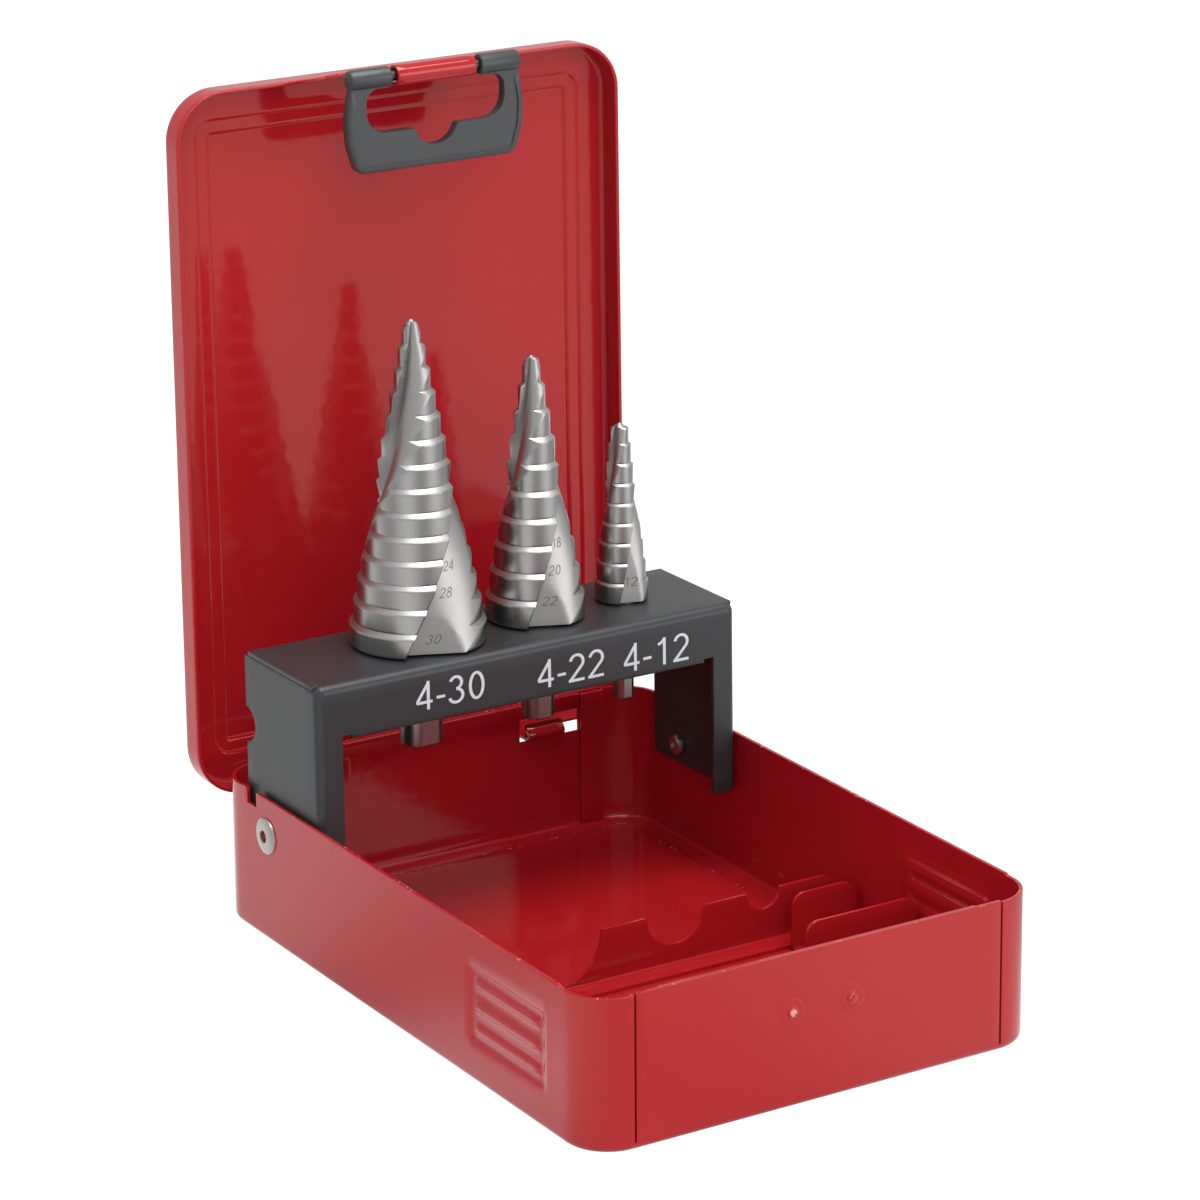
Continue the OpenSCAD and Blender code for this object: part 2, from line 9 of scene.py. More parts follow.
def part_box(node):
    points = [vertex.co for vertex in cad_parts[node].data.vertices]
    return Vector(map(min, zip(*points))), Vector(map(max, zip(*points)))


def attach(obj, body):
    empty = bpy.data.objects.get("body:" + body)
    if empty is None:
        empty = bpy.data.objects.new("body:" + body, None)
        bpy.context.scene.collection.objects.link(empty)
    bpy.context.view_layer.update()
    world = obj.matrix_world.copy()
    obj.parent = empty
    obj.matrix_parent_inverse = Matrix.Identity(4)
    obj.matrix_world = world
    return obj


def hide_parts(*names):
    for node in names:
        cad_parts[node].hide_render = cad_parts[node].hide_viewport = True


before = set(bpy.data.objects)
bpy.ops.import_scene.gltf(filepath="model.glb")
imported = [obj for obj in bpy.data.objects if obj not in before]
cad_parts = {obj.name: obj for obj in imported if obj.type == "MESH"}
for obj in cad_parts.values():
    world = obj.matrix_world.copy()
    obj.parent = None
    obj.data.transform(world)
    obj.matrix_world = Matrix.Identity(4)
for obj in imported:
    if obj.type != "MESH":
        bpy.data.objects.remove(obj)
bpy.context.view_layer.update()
print("frame loaded:", sorted(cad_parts))

# Sizes are in mm about the tray's middle, with the lid shut and the holder upright; swingOpen and leanBack turn
# those to the open pose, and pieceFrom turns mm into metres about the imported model's origin.
hinge = dict(y=78.0, z=25.5, angle=90.7)
rivetAxis = dict(y=55.0, z=24.5)


def turned(points, axis, degrees):
    # turns points about a line along x through the axis: y' = y cos + z sin, z' = z cos - y sin
    a = math.radians(degrees)
    p = np.array(points, float)
    y, z = p[..., 1] - axis["y"], p[..., 2] - axis["z"]
    p[..., 1] = axis["y"] + y * math.cos(a) + z * math.sin(a)
    p[..., 2] = axis["z"] - y * math.sin(a) + z * math.cos(a)
    return p


def leanBack(points):
    return turned(points, rivetAxis, hinge["angle"] - 90)


def swingOpen(points):
    return turned(points, hinge, hinge["angle"])


def smoothStep(x):
    x = np.clip(x, 0, 1)
    return x * x * (3 - 2 * x)


def stations(low, high, step, marks=()):
    # even stops about a step apart, with an extra stop at each mark; an even stop too near another one goes
    even = np.linspace(low, high, max(2, int(round((high - low) / step)) + 1))
    stops = np.concatenate([even, marks])
    stops = np.unique(np.round(stops[(stops >= low) & (stops <= high)], 4))
    near = np.diff(stops) < 0.12 * step
    exact = np.isin(stops, np.round(np.concatenate([marks, [low, high]]), 4))
    keep = np.ones(len(stops), bool)
    keep[1:] &= ~near | exact[1:]
    keep[:-1] &= ~near | exact[:-1]
    return stops[keep]


def strip(xs, path):
    # a sheet along x: one row for each (y, z) of the path, where z may be a height for each stop
    return np.array([np.column_stack([xs, np.full(len(xs), y), np.broadcast_to(z, len(xs))]) for y, z in path])


def easing(radius, degrees):
    # inset and drop along a round bend: r (1 - cos a) and r (1 - sin a)
    a = np.radians(degrees)
    return radius * (1 - np.cos(a)), radius * (1 - np.sin(a))


def softStep(at, low, rise, wide, near, ease):
    # (inset, height) points of a pressed step that climbs from low by rise, with both its bends eased
    return [(at - wide, low), (at - near, low + ease), (at, low + rise / 2), (at + near, low + rise - ease),
            (at + wide, low + rise)]


def faceMiddles(p, closed=False):
    # x, y and z of each face's middle: the mean of its four corners
    if closed:
        p = np.concatenate([p, p[:, :1]], axis=1)
    return np.moveaxis((p[:-1, :-1] + p[:-1, 1:] + p[1:, :-1] + p[1:, 1:]) / 4, -1, 0)


def lathe(profile, centre, axis="x", sides=48, side=1):
    # turns a profile of (along, radius) about an axis through centre: (along, r cos t, r sin t)
    t = np.linspace(0, 2 * np.pi, sides, endpoint=False)
    along, radius = np.array(profile, float).T[:, :, None]
    u, v = radius * np.cos(t), radius * np.sin(t)
    w = np.broadcast_to(along, u.shape) * side
    return np.stack((w, u, v) if axis == "x" else (u, w, v), axis=-1) + np.array(centre, float)


def bent(corners, radii, fine=6):
    # a flat polyline with rounded corners: each becomes an arc of its own radius, cut short where a leg is short
    pts = [np.array(c, float) for c in corners]
    f = np.linspace(0, 1, fine + 1)[:, None]
    out = [pts[:1]]
    for before, here, after, radius in zip(pts, pts[1:], pts[2:], radii):
        a, b = before - here, after - here
        lengthA, lengthB = np.linalg.norm(a), np.linalg.norm(b)
        a, b = a / lengthA, b / lengthB
        angle = math.acos(np.clip(a @ b, -1, 1))
        cut = min(radius / math.tan(angle / 2), 0.499 * lengthA, 0.499 * lengthB)
        reach = cut / math.cos(angle / 2)  # from the corner to the arc's middle
        middle = here + (a + b) / np.linalg.norm(a + b) * reach
        p, q = here + a * cut - middle, here + b * cut - middle
        turn = math.pi - angle
        out.append(middle + (p * np.sin((1 - f) * turn) + q * np.sin(f * turn)) / math.sin(turn))
    return np.concatenate(out + [pts[-1:]])


def pieceFrom(name, grids, weld=0.0005, sharp=35, recalc=False):
    # One mesh from grids of points (rows, columns, 3) in mm. A grid may close on itself along columns, be turned
    # over, and leave out the faces where its mask is False. Its zone goes into the attribute that materials read.
    points, faces, zones, first = [], [], [], 0
    for grid in grids:
        p = np.asarray(grid["points"], float)
        rows, cols = p.shape[:2]
        number = first + np.arange(rows * cols).reshape(rows, cols)
        if grid.get("closed"):
            number = np.concatenate([number, number[:, :1]], axis=1)
        quads = np.stack([number[:-1, :-1], number[:-1, 1:], number[1:, 1:], number[1:, :-1]], axis=-1)
        if grid.get("mask") is not None:
            quads = quads[grid["mask"]]
        quads = quads.reshape(-1, 4)
        points.append(p.reshape(-1, 3))
        zones.append(np.broadcast_to(np.asarray(grid.get("zone", 0.0), float), (rows, cols)).reshape(-1))
        faces.append(quads[:, ::-1] if grid.get("flip") else quads)
        first += rows * cols
    points, faces, zones = np.concatenate(points), np.concatenate(faces), np.concatenate(zones)
    points = (points + [0, shiftY, 0]) / 1000
    mesh = bpy.data.meshes.new(name)
    mesh.vertices.add(len(points))
    mesh.vertices.foreach_set("co", points.astype(np.float32).ravel())
    mesh.loops.add(faces.size)
    mesh.loops.foreach_set("vertex_index", faces.astype(np.int32).ravel())
    mesh.polygons.add(len(faces))
    mesh.polygons.foreach_set("loop_start", np.arange(0, faces.size, 4, dtype=np.int32))
    mesh.polygons.foreach_set("loop_total", np.full(len(faces), 4, np.int32))
    mesh.update(calc_edges=True)
    mesh.attributes.new("zone", "FLOAT", "POINT").data.foreach_set("value", zones.astype(np.float32))
    work = bmesh.new()
    work.from_mesh(mesh)
    bmesh.ops.remove_doubles(work, verts=work.verts, dist=weld / 1000)
    bmesh.ops.dissolve_degenerate(work, edges=work.edges, dist=1e-7)
    bmesh.ops.delete(work, geom=[v for v in work.verts if not v.link_faces], context="VERTS")
    if recalc:
        bmesh.ops.recalc_face_normals(work, faces=work.faces)
    work.to_mesh(mesh)
    work.free()
    mesh.shade_smooth()
    mesh.set_sharp_from_angle(angle=math.radians(sharp))
    obj = bpy.data.objects.new(name, mesh)
    bpy.context.scene.collection.objects.link(obj)
    return obj


def sheetOf(obj, thickness, edge):
    # gives a surface its sheet thickness inward and eases the cut edges
    wall = obj.modifiers.new("thickness", "SOLIDIFY")
    wall.thickness, wall.offset, wall.use_even_offset = thickness / 1000, -1, True
    ease = obj.modifiers.new("easedEdges", "BEVEL")
    ease.width, ease.segments = edge / 1000, 2
    ease.limit_method, ease.angle_limit = "ANGLE", math.radians(50)
    return obj


def finishPiece(obj, body, material, replaced=()):
    obj.data.materials.append(material)
    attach(obj, body)
    if replaced:
        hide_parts(*replaced)
    print("piece:", obj.name, len(obj.data.polygons), "faces")


class Sock:
    # a shader value: arithmetic on it adds Math nodes
    def __init__(self, paint, socket):
        self.paint, self.socket = paint, socket

    def _math(self, kind, *others):
        return self.paint.node("ShaderNodeMath", dict(operation=kind), *others)

    def __add__(self, o): return self._math("ADD", self, o)
    def __radd__(self, o): return self._math("ADD", o, self)
    def __sub__(self, o): return self._math("SUBTRACT", self, o)
    def __rsub__(self, o): return self._math("SUBTRACT", o, self)
    def __mul__(self, o): return self._math("MULTIPLY", self, o)
    def __rmul__(self, o): return self._math("MULTIPLY", o, self)
    def __truediv__(self, o): return self._math("DIVIDE", self, o)
    def __rtruediv__(self, o): return self._math("DIVIDE", o, self)
    def sine(self): return self._math("SINE", self)
    def above(self, o): return self._math("GREATER_THAN", self, o)
    def clamp(self): return self.paint.node("ShaderNodeClamp", {}, self)


class Paint:
    # builds one material: node() makes any node from its type, its settings and its sockets' values or links
    def __init__(self, name):
        self.material = bpy.data.materials.new(name)
        self.material.use_nodes = True
        self.tree = self.material.node_tree
        self.tree.nodes.clear()

    def node(self, kind, settings=None, *inputs, output=0, **named):
        n = self.tree.nodes.new(kind)
        for key, value in (settings or {}).items():
            setattr(n, key, value)
        pairs = list(enumerate(inputs)) + [(k.replace("_", " "), v) for k, v in named.items()]
        for key, value in pairs:
            if isinstance(value, Sock):
                self.tree.links.new(value.socket, n.inputs[key])
            elif value is not None:
                n.inputs[key].default_value = value
        return Sock(self, n.outputs[output])

    def place(self, scale=(1, 1, 1), rotation=(0, 0, 0)):
        at = self.node("ShaderNodeTexCoord", output="Object")
        return self.node("ShaderNodeMapping", {}, Vector=at, Scale=scale, Rotation=rotation)

    def noise(self, scale, detail, roughness, vector=None):
        return self.node("ShaderNodeTexNoise", {}, Vector=vector or self.place(), Scale=scale, Detail=detail,
                         Roughness=roughness)

    def attribute(self, name):
        return self.node("ShaderNodeAttribute", dict(attribute_name=name), output="Fac")

    def blendColours(self, factor, first, second):
        # the colour sockets of a Mix node are its seventh and eighth
        return self.node("ShaderNodeMix", dict(data_type="RGBA"), factor, None, None, None, None, None, first, second,
                         output=2)

    def bump(self, height, strength, distance):
        return self.node("ShaderNodeBump", {}, Height=height, Strength=strength, Distance=distance)

    def output(self, surface):
        out = self.tree.nodes.new("ShaderNodeOutputMaterial")
        self.tree.links.new(surface.socket, out.inputs["Surface"])
        return self.material

    def finish(self, **sockets):
        return self.output(self.node("ShaderNodeBsdfPrincipled", {}, **sockets))


# Scales are in cycles per metre, heights in metres.
# the chip colour is the paler undercoat where the coat is worn through, and on the bumps' domes a painted highlight
enamelLook = dict(colour=(0.345, 0.0085, 0.0135, 1), deep=(0.300, 0.0072, 0.0115, 1), chipAndPaintedHighlight=(0.62, 0.30, 0.26, 1),
                  tint=(1.0, 0.84, 0.76, 1), gloss=0.05, cloud=16.0, peel=330.0, wave=60.0, dust=1900.0,
                  reliefHeight=0.00008, chips=620.0, chipsFrom=0.80, zoneAdds=0.30)
blackLook = dict(colour=(0.020, 0.021, 0.023, 1), pale=(0.028, 0.029, 0.031, 1), gloss=0.34, blur=0.12,
                 specular=0.42, cloud=(40.0, 3.0, 0.6), grain=1500.0, grainShare=0.22, grainHeight=0.00006)
plasticLook = dict(colour=(0.026, 0.027, 0.029, 1), pale=(0.038, 0.040, 0.042, 1), gloss=0.34, blur=0.14,
                   specular=0.5, cloud=(90.0, 2.0, 0.5), grain=2600.0, grainShare=0.2, grainHeight=0.00004)
steelLook = dict(colour=(0.43, 0.425, 0.415, 1), dark=(0.33, 0.327, 0.32, 1), gloss=0.25, ledgeBlur=0.16,
                 rings=(60, 60, 5200), marks=(900, 900, 260), marksTurn=(0.0, 0.5, 0.4), cloud=55.0, height=0.00005)
rivetLook = dict(colour=(0.52, 0.49, 0.46, 1), dark=(0.38, 0.36, 0.34, 1), gloss=0.30, cloud=300.0)
# the mandrel is steel, coloured darker than that to paint the shade down inside the rivet's hole
mandrelPaintedShadeLook = dict(colour=(0.09, 0.085, 0.08, 1), dark=(0.05, 0.048, 0.045, 1), gloss=0.45, cloud=500.0)
pinLook = dict(colour=(0.10, 0.10, 0.105, 1), dark=(0.05, 0.05, 0.055, 1), gloss=0.35, cloud=400.0)
printLook = dict(colour=(0.58, 0.61, 0.66, 1), dark=(0.46, 0.49, 0.54, 1), worn=700.0, metallic=0.0, gloss=0.5)
etchLook = dict(colour=(0.20, 0.20, 0.195, 1), dark=(0.10, 0.098, 0.095, 1), worn=900.0, metallic=0.6, gloss=0.45)


def makeEnamel():
    # zone says how worn a place is: there the coat is chipped through to a paler undercoat. On the front bumps' domes
    # the zone is set high so these pale chips paint a highlight.
    m, look = Paint("redEnamel"), enamelLook
    chipZone = m.attribute("zone")
    cloud = m.noise(look["cloud"], 3.0, 0.5)
    peel = m.noise(look["peel"], 2.0, 0.45)
    wave = m.noise(look["wave"], 1.0, 0.4)
    dust = m.noise(look["dust"], 1.0, 0.5)
    chips = (m.noise(look["chips"], 3.0, 0.7) + chipZone * look["zoneAdds"] - look["chipsFrom"]).above(0.0)
    colour = m.blendColours(cloud.clamp(), look["deep"], look["colour"])
    colour = m.blendColours(chips * 0.75, colour, look["chipAndPaintedHighlight"])
    height = peel * 1.3 + wave * 1.2 + dust * 0.03 - chips * 0.3
    return m.finish(Base_Color=colour, Roughness=look["gloss"] + cloud * 0.05 + dust * 0.03 + chips * 0.3,
                    Normal=m.bump(height, 0.30, look["reliefHeight"]), Specular_IOR_Level=0.5,
                    Specular_Tint=look["tint"])


def makeGrained(name, look):
    # a dull coat or moulding: slow clouds in the colour, fine grain in the surface
    m = Paint(name)
    cloud = m.noise(*look["cloud"])
    grain = m.noise(look["grain"], 2.0, 0.6)
    return m.finish(Base_Color=m.blendColours(cloud.clamp(), look["colour"], look["pale"]),
                    Roughness=look["gloss"] + grain * look["blur"],
                    Normal=m.bump(grain, look["grainShare"], look["grainHeight"]), Specular_IOR_Level=look["specular"])


def makeSteel():
    # turned rings on the bands (zone 0), duller ledges (zone 0.5) and wheel marks in the flutes (zone 1)
    m, look = Paint("bitSteel"), steelLook
    zone = m.attribute("zone")
    flute = (zone - 0.75).above(0.0)
    ledge = (zone - 0.25).above(0.0)
    rings = m.noise(1.0, 2.0, 0.7, m.place(look["rings"]))
    marks = m.noise(1.0, 3.0, 0.7, m.place(look["marks"], look["marksTurn"]))
    cloud = m.noise(look["cloud"], 2.0, 0.5)
    height = rings * (1 - flute) * 0.55 + marks * flute * 1.2
    share = (rings * 0.35 + cloud * 0.5 + marks * 0.15).clamp()
    return m.finish(Base_Color=m.blendColours(share, look["dark"], look["colour"]), Metallic=1.0,
                    Roughness=look["gloss"] + ledge * look["ledgeBlur"] + cloud * 0.06,
                    Normal=m.bump(height, 0.25, look["height"]))


def makePlainMetal(name, look):
    m = Paint(name)
    cloud = m.noise(look["cloud"], 3.0, 0.6)
    return m.finish(Base_Color=m.blendColours(cloud.clamp(), look["dark"], look["colour"]), Metallic=1.0,
                    Roughness=look["gloss"] + cloud * 0.12,
                    Normal=m.bump(m.noise(look["cloud"] * 6, 2.0, 0.5), 0.2, 0.00005))


def makeMark(name, look):
    # printed or etched figures, unevenly worn
    m = Paint(name)
    worn = m.noise(look["worn"], 2.0, 0.6)
    return m.finish(Base_Color=m.blendColours(worn.clamp(), look["dark"], look["colour"]),
                    Metallic=look["metallic"], Roughness=look["gloss"] + worn * 0.1)


enamel, steel = makeEnamel(), makeSteel()
black, plastic = makeGrained("blackEnamel", blackLook), makeGrained("latchPlastic", plasticLook)
rivetMetal, pinMetal = makePlainMetal("rivetMetal", rivetLook), makePlainMetal("pinMetal", pinLook)
mandrelPaintedShadeMetal = makePlainMetal("mandrelPaintedShadeMetal", mandrelPaintedShadeLook)
whitePrint, etched = makeMark("whitePrint", printLook), makeMark("etchedMark", etchLook)
print("materials ready")


def loopAround(halfX, halfY, radius, marksX, marksY, stepX, stepY, arc=14):
    # Anchors and outward normals around a rounded rectangle, anticlockwise from the front left corner. A side's
    # anchors are its stops, and the corner after it has one anchor, its centre, under a fan of normals.
    ax, ay = halfX - radius, halfY - radius
    xs, ys = stations(-ax, ax, stepX, marksX), stations(-ay, ay, stepY, marksY)
    anchors, angles = [], []
    for x, y, facing in ((xs, -ay, -90), (ax, ys, 0), (xs[::-1], ay, 90), (-ax, ys[::-1], 180)):
        side = np.column_stack(np.broadcast_arrays(x, y))
        anchors += [side, np.repeat(side[-1:], arc - 1, axis=0)]
        angles += [np.full(len(side), facing), facing + 90 * np.arange(1, arc) / arc]
    angles = np.radians(np.concatenate(angles))
    return np.concatenate(anchors), np.column_stack([np.cos(angles), np.sin(angles)]), xs, ys


def ringPoints(anchors, normals, radius, profile):
    # carries a profile of (inset, height) around the loop: a point is radius - inset out from its anchor
    inset, height = np.array(profile, float).T[:, :, None, None]
    xy = anchors + normals * (radius - inset)
    return np.concatenate([xy, np.broadcast_to(height, xy.shape[:2] + (1,))], axis=-1)


def middleGrid(xs, ys, z):
    # the flat inside the last ring, on the same stops
    x, y = np.meshgrid(xs, ys)
    return np.stack([x, y, np.full(x.shape, z)], axis=-1)


tray = dict(halfWidth=54.5, halfDepth=78.1, height=33.0, corner=10.0, sheet=0.8, bend=1.6,
            floorBorder=6.8, floorRise=0.6, seamAt=44.2, seamGap=0.5, lapEnd=38.9, hemDepth=3.6,
            windowStart=22.9, windowEnd=38.65, windowLow=23.5, windowHigh=29.0,
            notchLow=29.6, notchFront=59.4, notchBack=63.6, cornerRim=66.3, rimDrop=0.35,
            gripMiddle=-46.0, gripLength=30.0, gripLevel=17.0, gripHeight=17.0, gripDepth=0.5, gripSoft=0.9,
            ribPitch=5.0, ribWidth=2.0, ribInset=2.2, ribSoft=0.7, ribStands=0.95,
            bumpX=7.2, bumpZ=20.5, bumpRadius=1.3, bumpRise=0.45, bumpPaintedHighlight=0.84, ringWear=0.1,
            bumpRing=((-0.05, 3.05), (0.015, 2.9), (0.03, 2.3), (0.01, 1.7), (0.02, 1.45)),
            rimWear=0.52, rimWearWidth=0.35, rearBendWear=0.95, bendWear=0.45, bendWearWidth=0.7)
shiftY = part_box("base_tray")[1].y * 1000 - tray["halfDepth"]


def gripDent(y, z):
    # depth of the pressed grip: a flat field with soft edges, less the rounded ribs that are left standing in it
    t = tray
    along = t["gripLength"] / 2 - abs(y - t["gripMiddle"])
    up = t["gripHeight"] / 2 - abs(z - t["gripLevel"])
    field = smoothStep(along / t["gripSoft"]) * smoothStep(up / t["gripSoft"])
    ends = smoothStep((along - t["ribInset"]) / t["gripSoft"])
    rib = 0
    for i in (-1, 0, 1):
        across = abs(z - t["gripLevel"] - i * t["ribPitch"])
        rib = np.maximum(rib, smoothStep((t["ribWidth"] / 2 + t["ribSoft"] / 2 - across) / t["ribSoft"]) * ends)
    return t["gripDepth"] * field * (1 - rib * t["ribStands"])


def trayMarks():
    # stops that the seams, windows, notches, grips and rims need: along x, along y and up the walls
    t = tray
    soft, inset, rib = t["gripSoft"], t["ribInset"], t["ribWidth"] / 2
    seam = [t["seamAt"] - t["seamGap"] / 2, t["seamAt"] + t["seamGap"] / 2]
    marksX = [s * m for s in (-1, 1) for m in seam + [t["windowStart"], t["windowEnd"]]]
    edges = (0, soft / 2, soft, inset, inset + soft / 2, inset + soft)
    marksY = [t["gripMiddle"] + s * (t["gripLength"] / 2 - o) for s in (-1, 1) for o in edges]
    marksY += [t["notchFront"], t["notchBack"], 0.3 - t["cornerRim"], -0.3 - t["cornerRim"]]
    marksZ = [t["gripLevel"] + i * t["ribPitch"] + s * (rib + o) for i in (-1, 0, 1) for s in (-1, 1)
              for o in (-t["ribSoft"] / 2, 0, t["ribSoft"] / 2)]
    marksZ += [t["gripLevel"] + s * (t["gripHeight"] / 2 - o) for s in (-1, 1) for o in edges[:3]]
    return seam, marksX, marksY, marksZ + [t["notchLow"], t["windowLow"], t["windowHigh"], t["height"] - 0.6]


def makeTrayShell():
    t = tray
    w, d, r, b = t["halfWidth"], t["halfDepth"], t["corner"], t["floorBorder"]
    seam, marksX, marksY, marksZ = trayMarks()
    anchors, normals, xs, ys = loopAround(w, d, r, marksX, marksY, 3.0, 3.0)
    levels = stations(t["bend"], t["height"], 2.5, marksZ)[::-1]
    profile = [(0, z) for z in levels] + list(zip(*easing(t["bend"], range(15, 91, 15)))) + [(3.5, 0.0)]
    profile += softStep(b, 0.0, t["floorRise"], 0.9, 0.3, 0.08) + [(r, t["floorRise"])]
    p = ringPoints(anchors, normals, r, profile)
    x, y, z = np.moveaxis(p, -1, 0)
    side = (abs(normals[:, 0]) > 0.999)[None, :] & (z > t["bend"])
    p[..., 0] = x - np.sign(x) * side * gripDent(y, z)
    # the corners' rims sit a little lower than the side walls'
    low = (abs(y) > t["cornerRim"]) & (z > t["height"] - 0.1) & (abs(x) > t["seamAt"])
    p[..., 2] -= low * t["rimDrop"]
    xm, ym, zm = faceMiddles(p, True)
    wall = zm > t["bend"]
    endWall = wall & (abs(ym) > d - 0.5)
    hole = endWall & (abs(xm) > seam[0]) & (abs(xm) < seam[1])
    hole |= endWall & (ym > 0) & (abs(xm) > t["windowStart"]) & (abs(xm) < t["windowEnd"]) \
        & (zm > t["windowLow"]) & (zm < t["windowHigh"])
    hole |= wall & (abs(xm) > w - 1.5) & (ym > t["notchFront"]) & (ym < t["notchBack"]) & (zm > t["notchLow"])
    # wear for the enamel's chips: along the rim and along the floor's bends
    inset, level = np.array(profile, float).T[:, :, None]
    rimWear = np.exp(-((level - t["height"]) / t["rimWearWidth"]) ** 2) * t["rimWear"]
    bendWear = np.exp(-((inset - b) / t["bendWearWidth"]) ** 2) * (level < t["bend"])
    chipZone = np.maximum(rimWear, bendWear * np.where(y > 20, t["rearBendWear"], t["bendWear"]))
    shell = pieceFrom("trayShell", [dict(points=p, closed=True, mask=~hole, flip=True, zone=chipZone),
                                    dict(points=middleGrid(xs, ys, t["floorRise"]), flip=True)])
    finishPiece(sheetOf(shell, t["sheet"], 0.16), "base", enamel, ["base_tray"])


def makeTrayFolds():
    # laps behind the end panels, and the hems folded over their rims
    t = tray
    inner, top = t["halfDepth"] - t["sheet"], t["height"]
    xs, zs = stations(t["lapEnd"], t["seamAt"] + 0.6, 1.5), stations(1.0, top - 0.45, 4.0)
    grids = [dict(points=strip(sx * xs, [(sy * inner, z) for z in zs]), flip=sx == sy)
             for sx in (-1, 1) for sy in (-1, 1)]
    finishPiece(sheetOf(pieceFrom("cornerLaps", grids), t["sheet"], 0.12), "base", enamel)
    xs = stations(-t["lapEnd"] + 0.5, t["lapEnd"] - 0.5, 4.0)
    zs = (top - 0.05, top - 0.9, top - t["hemDepth"])
    grids = [dict(points=strip(xs, [(sy * (inner - 0.02), z) for z in zs]), flip=sy < 0) for sy in (-1, 1)]
    finishPiece(sheetOf(pieceFrom("rimHems", grids), t["sheet"], 0.25), "base", enamel)


def makeBumps():
    # the two bumps of the front panel, each a low dome (rise cos a, radius sin a) in a faint worn ring; the pale chips
    # over each dome's top are a painted highlight
    t = tray
    a = np.radians([80, 65, 50, 35, 20, 8, 0.01])
    profile = list(t["bumpRing"]) + list(zip(t["bumpRise"] * np.cos(a), t["bumpRadius"] * np.sin(a)))
    # the domes' tops get a high zone, so pale chips cover them: a painted highlight
    zone = np.where(np.arange(len(profile)) > len(t["bumpRing"]) + 2, t["bumpPaintedHighlight"], t["ringWear"])[:, None]
    grids = [dict(points=lathe(profile, (s * t["bumpX"], -t["halfDepth"], t["bumpZ"]), "y", 36, -1), closed=True,
                  zone=zone) for s in (-1, 1)]
    finishPiece(pieceFrom("frontBumps", grids, recalc=True), "base", enamel)


makeTrayShell()
makeTrayFolds()
makeBumps()

cradle = dict(y=-6.0, left=-52.9, right=51.5, floor=1.4, top=13.6, sheet=0.8, foot=6.4, bend=1.0, endRound=2.5,
              scallops=((-18.7, 11.4), (11.1, 7.4), (33.6, 4.4)), scallopDepth=0.98)
divider = dict(back=-14.0, front=-35.0, backTop=14.4, frontTop=18.2, backLeft=36.4, frontLeft=24.5, right=52.6,
               round=3.0)


def makeCradle():
    # an angle of sheet; its upright's top edge dips in three round scallops, each sqrt(r^2 - x^2) deep
    c = cradle
    xs = stations(c["left"], c["right"], 0.8, [x + s * q for x, q in c["scallops"] for s in (-1, 1)])
    top = np.full(len(xs), c["top"])
    for x0, q in c["scallops"]:
        dip = np.sqrt(np.maximum(q * q - (xs - x0) ** 2, 0)) * c["scallopDepth"]
        top = np.where(abs(xs - x0) < q, c["top"] - dip, top)
    ends = np.minimum(1, np.minimum(xs - c["left"], c["right"] - xs) / c["endRound"])
    top = np.minimum(top, c["top"] - c["endRound"] * (1 - np.sqrt(np.maximum(1 - (1 - ends) ** 2, 0))))
    low = c["floor"] + c["bend"]
    path = [(c["y"], low + (top - low) * f) for f in np.linspace(1, 0, 8)]
    path += [(c["y"] - c["bend"] * (1 - math.cos(a)), low - c["bend"] * math.sin(a))
             for a in np.radians([22, 45, 68, 90])]
    path += [(c["y"] - g, c["floor"]) for g in (2.5, c["foot"])]
    obj = pieceFrom("bitCradle", [dict(points=strip(xs, path))])
    finishPiece(sheetOf(obj, c["sheet"], 0.1), "base", enamel, ["bit_cradle"])


def makeDivider():
    # a channel of sheet: floor strip with an upright plate, round at its top corners, at each end
    v = divider
    floor, t = cradle["floor"], cradle["sheet"]

    def upright(left, y, top, flip):
        q = v["round"]
        corner = np.linspace(0, q, 7)
        xs = stations(left, v["right"], 2.0, np.concatenate([left + corner, v["right"] - corner]))
        edge = np.minimum(xs - left, v["right"] - xs)
        top = np.where(edge < q, top - q + np.sqrt(np.maximum(q * q - (q - edge) ** 2, 0)), top)
        return dict(points=strip(xs, [(y, floor + (top - floor) * f) for f in np.linspace(1, 0, 7)]), flip=flip)

    xs = stations(v["backLeft"], v["right"], 4.0)
    ys = stations(v["front"] - t, v["back"], 5.0)
    grids = [upright(v["backLeft"], v["back"], v["backTop"], True),
             upright(v["frontLeft"], v["front"] - t, v["frontTop"], False),
             dict(points=strip(xs, [(y, floor + t) for y in ys]))]
    obj = pieceFrom("dividerChannel", grids)
    finishPiece(sheetOf(obj, t, 0.1), "base", enamel, ["divider_channel"])


makeCradle()
makeDivider()

lid = dict(halfWidth=55.8, front=-79.4, back=80.0, low=31.5, top=38.2, corner=11.3, sheet=0.8, roll=1.8,
           steps=(7.3, 10.4), rise=0.5, reliefHalf=19.0, relief=1.0,
           catchHalf=9.8, pinY=-80.9, pinZ=18.0, rollOuter=2.3, rollTurn=-272,
           hookStart=24.8, hookWidth=9.6, bendY=78.6, bendZ=25.1, bendOuter=1.4, bendTurn=-135, hookTip=2.2)


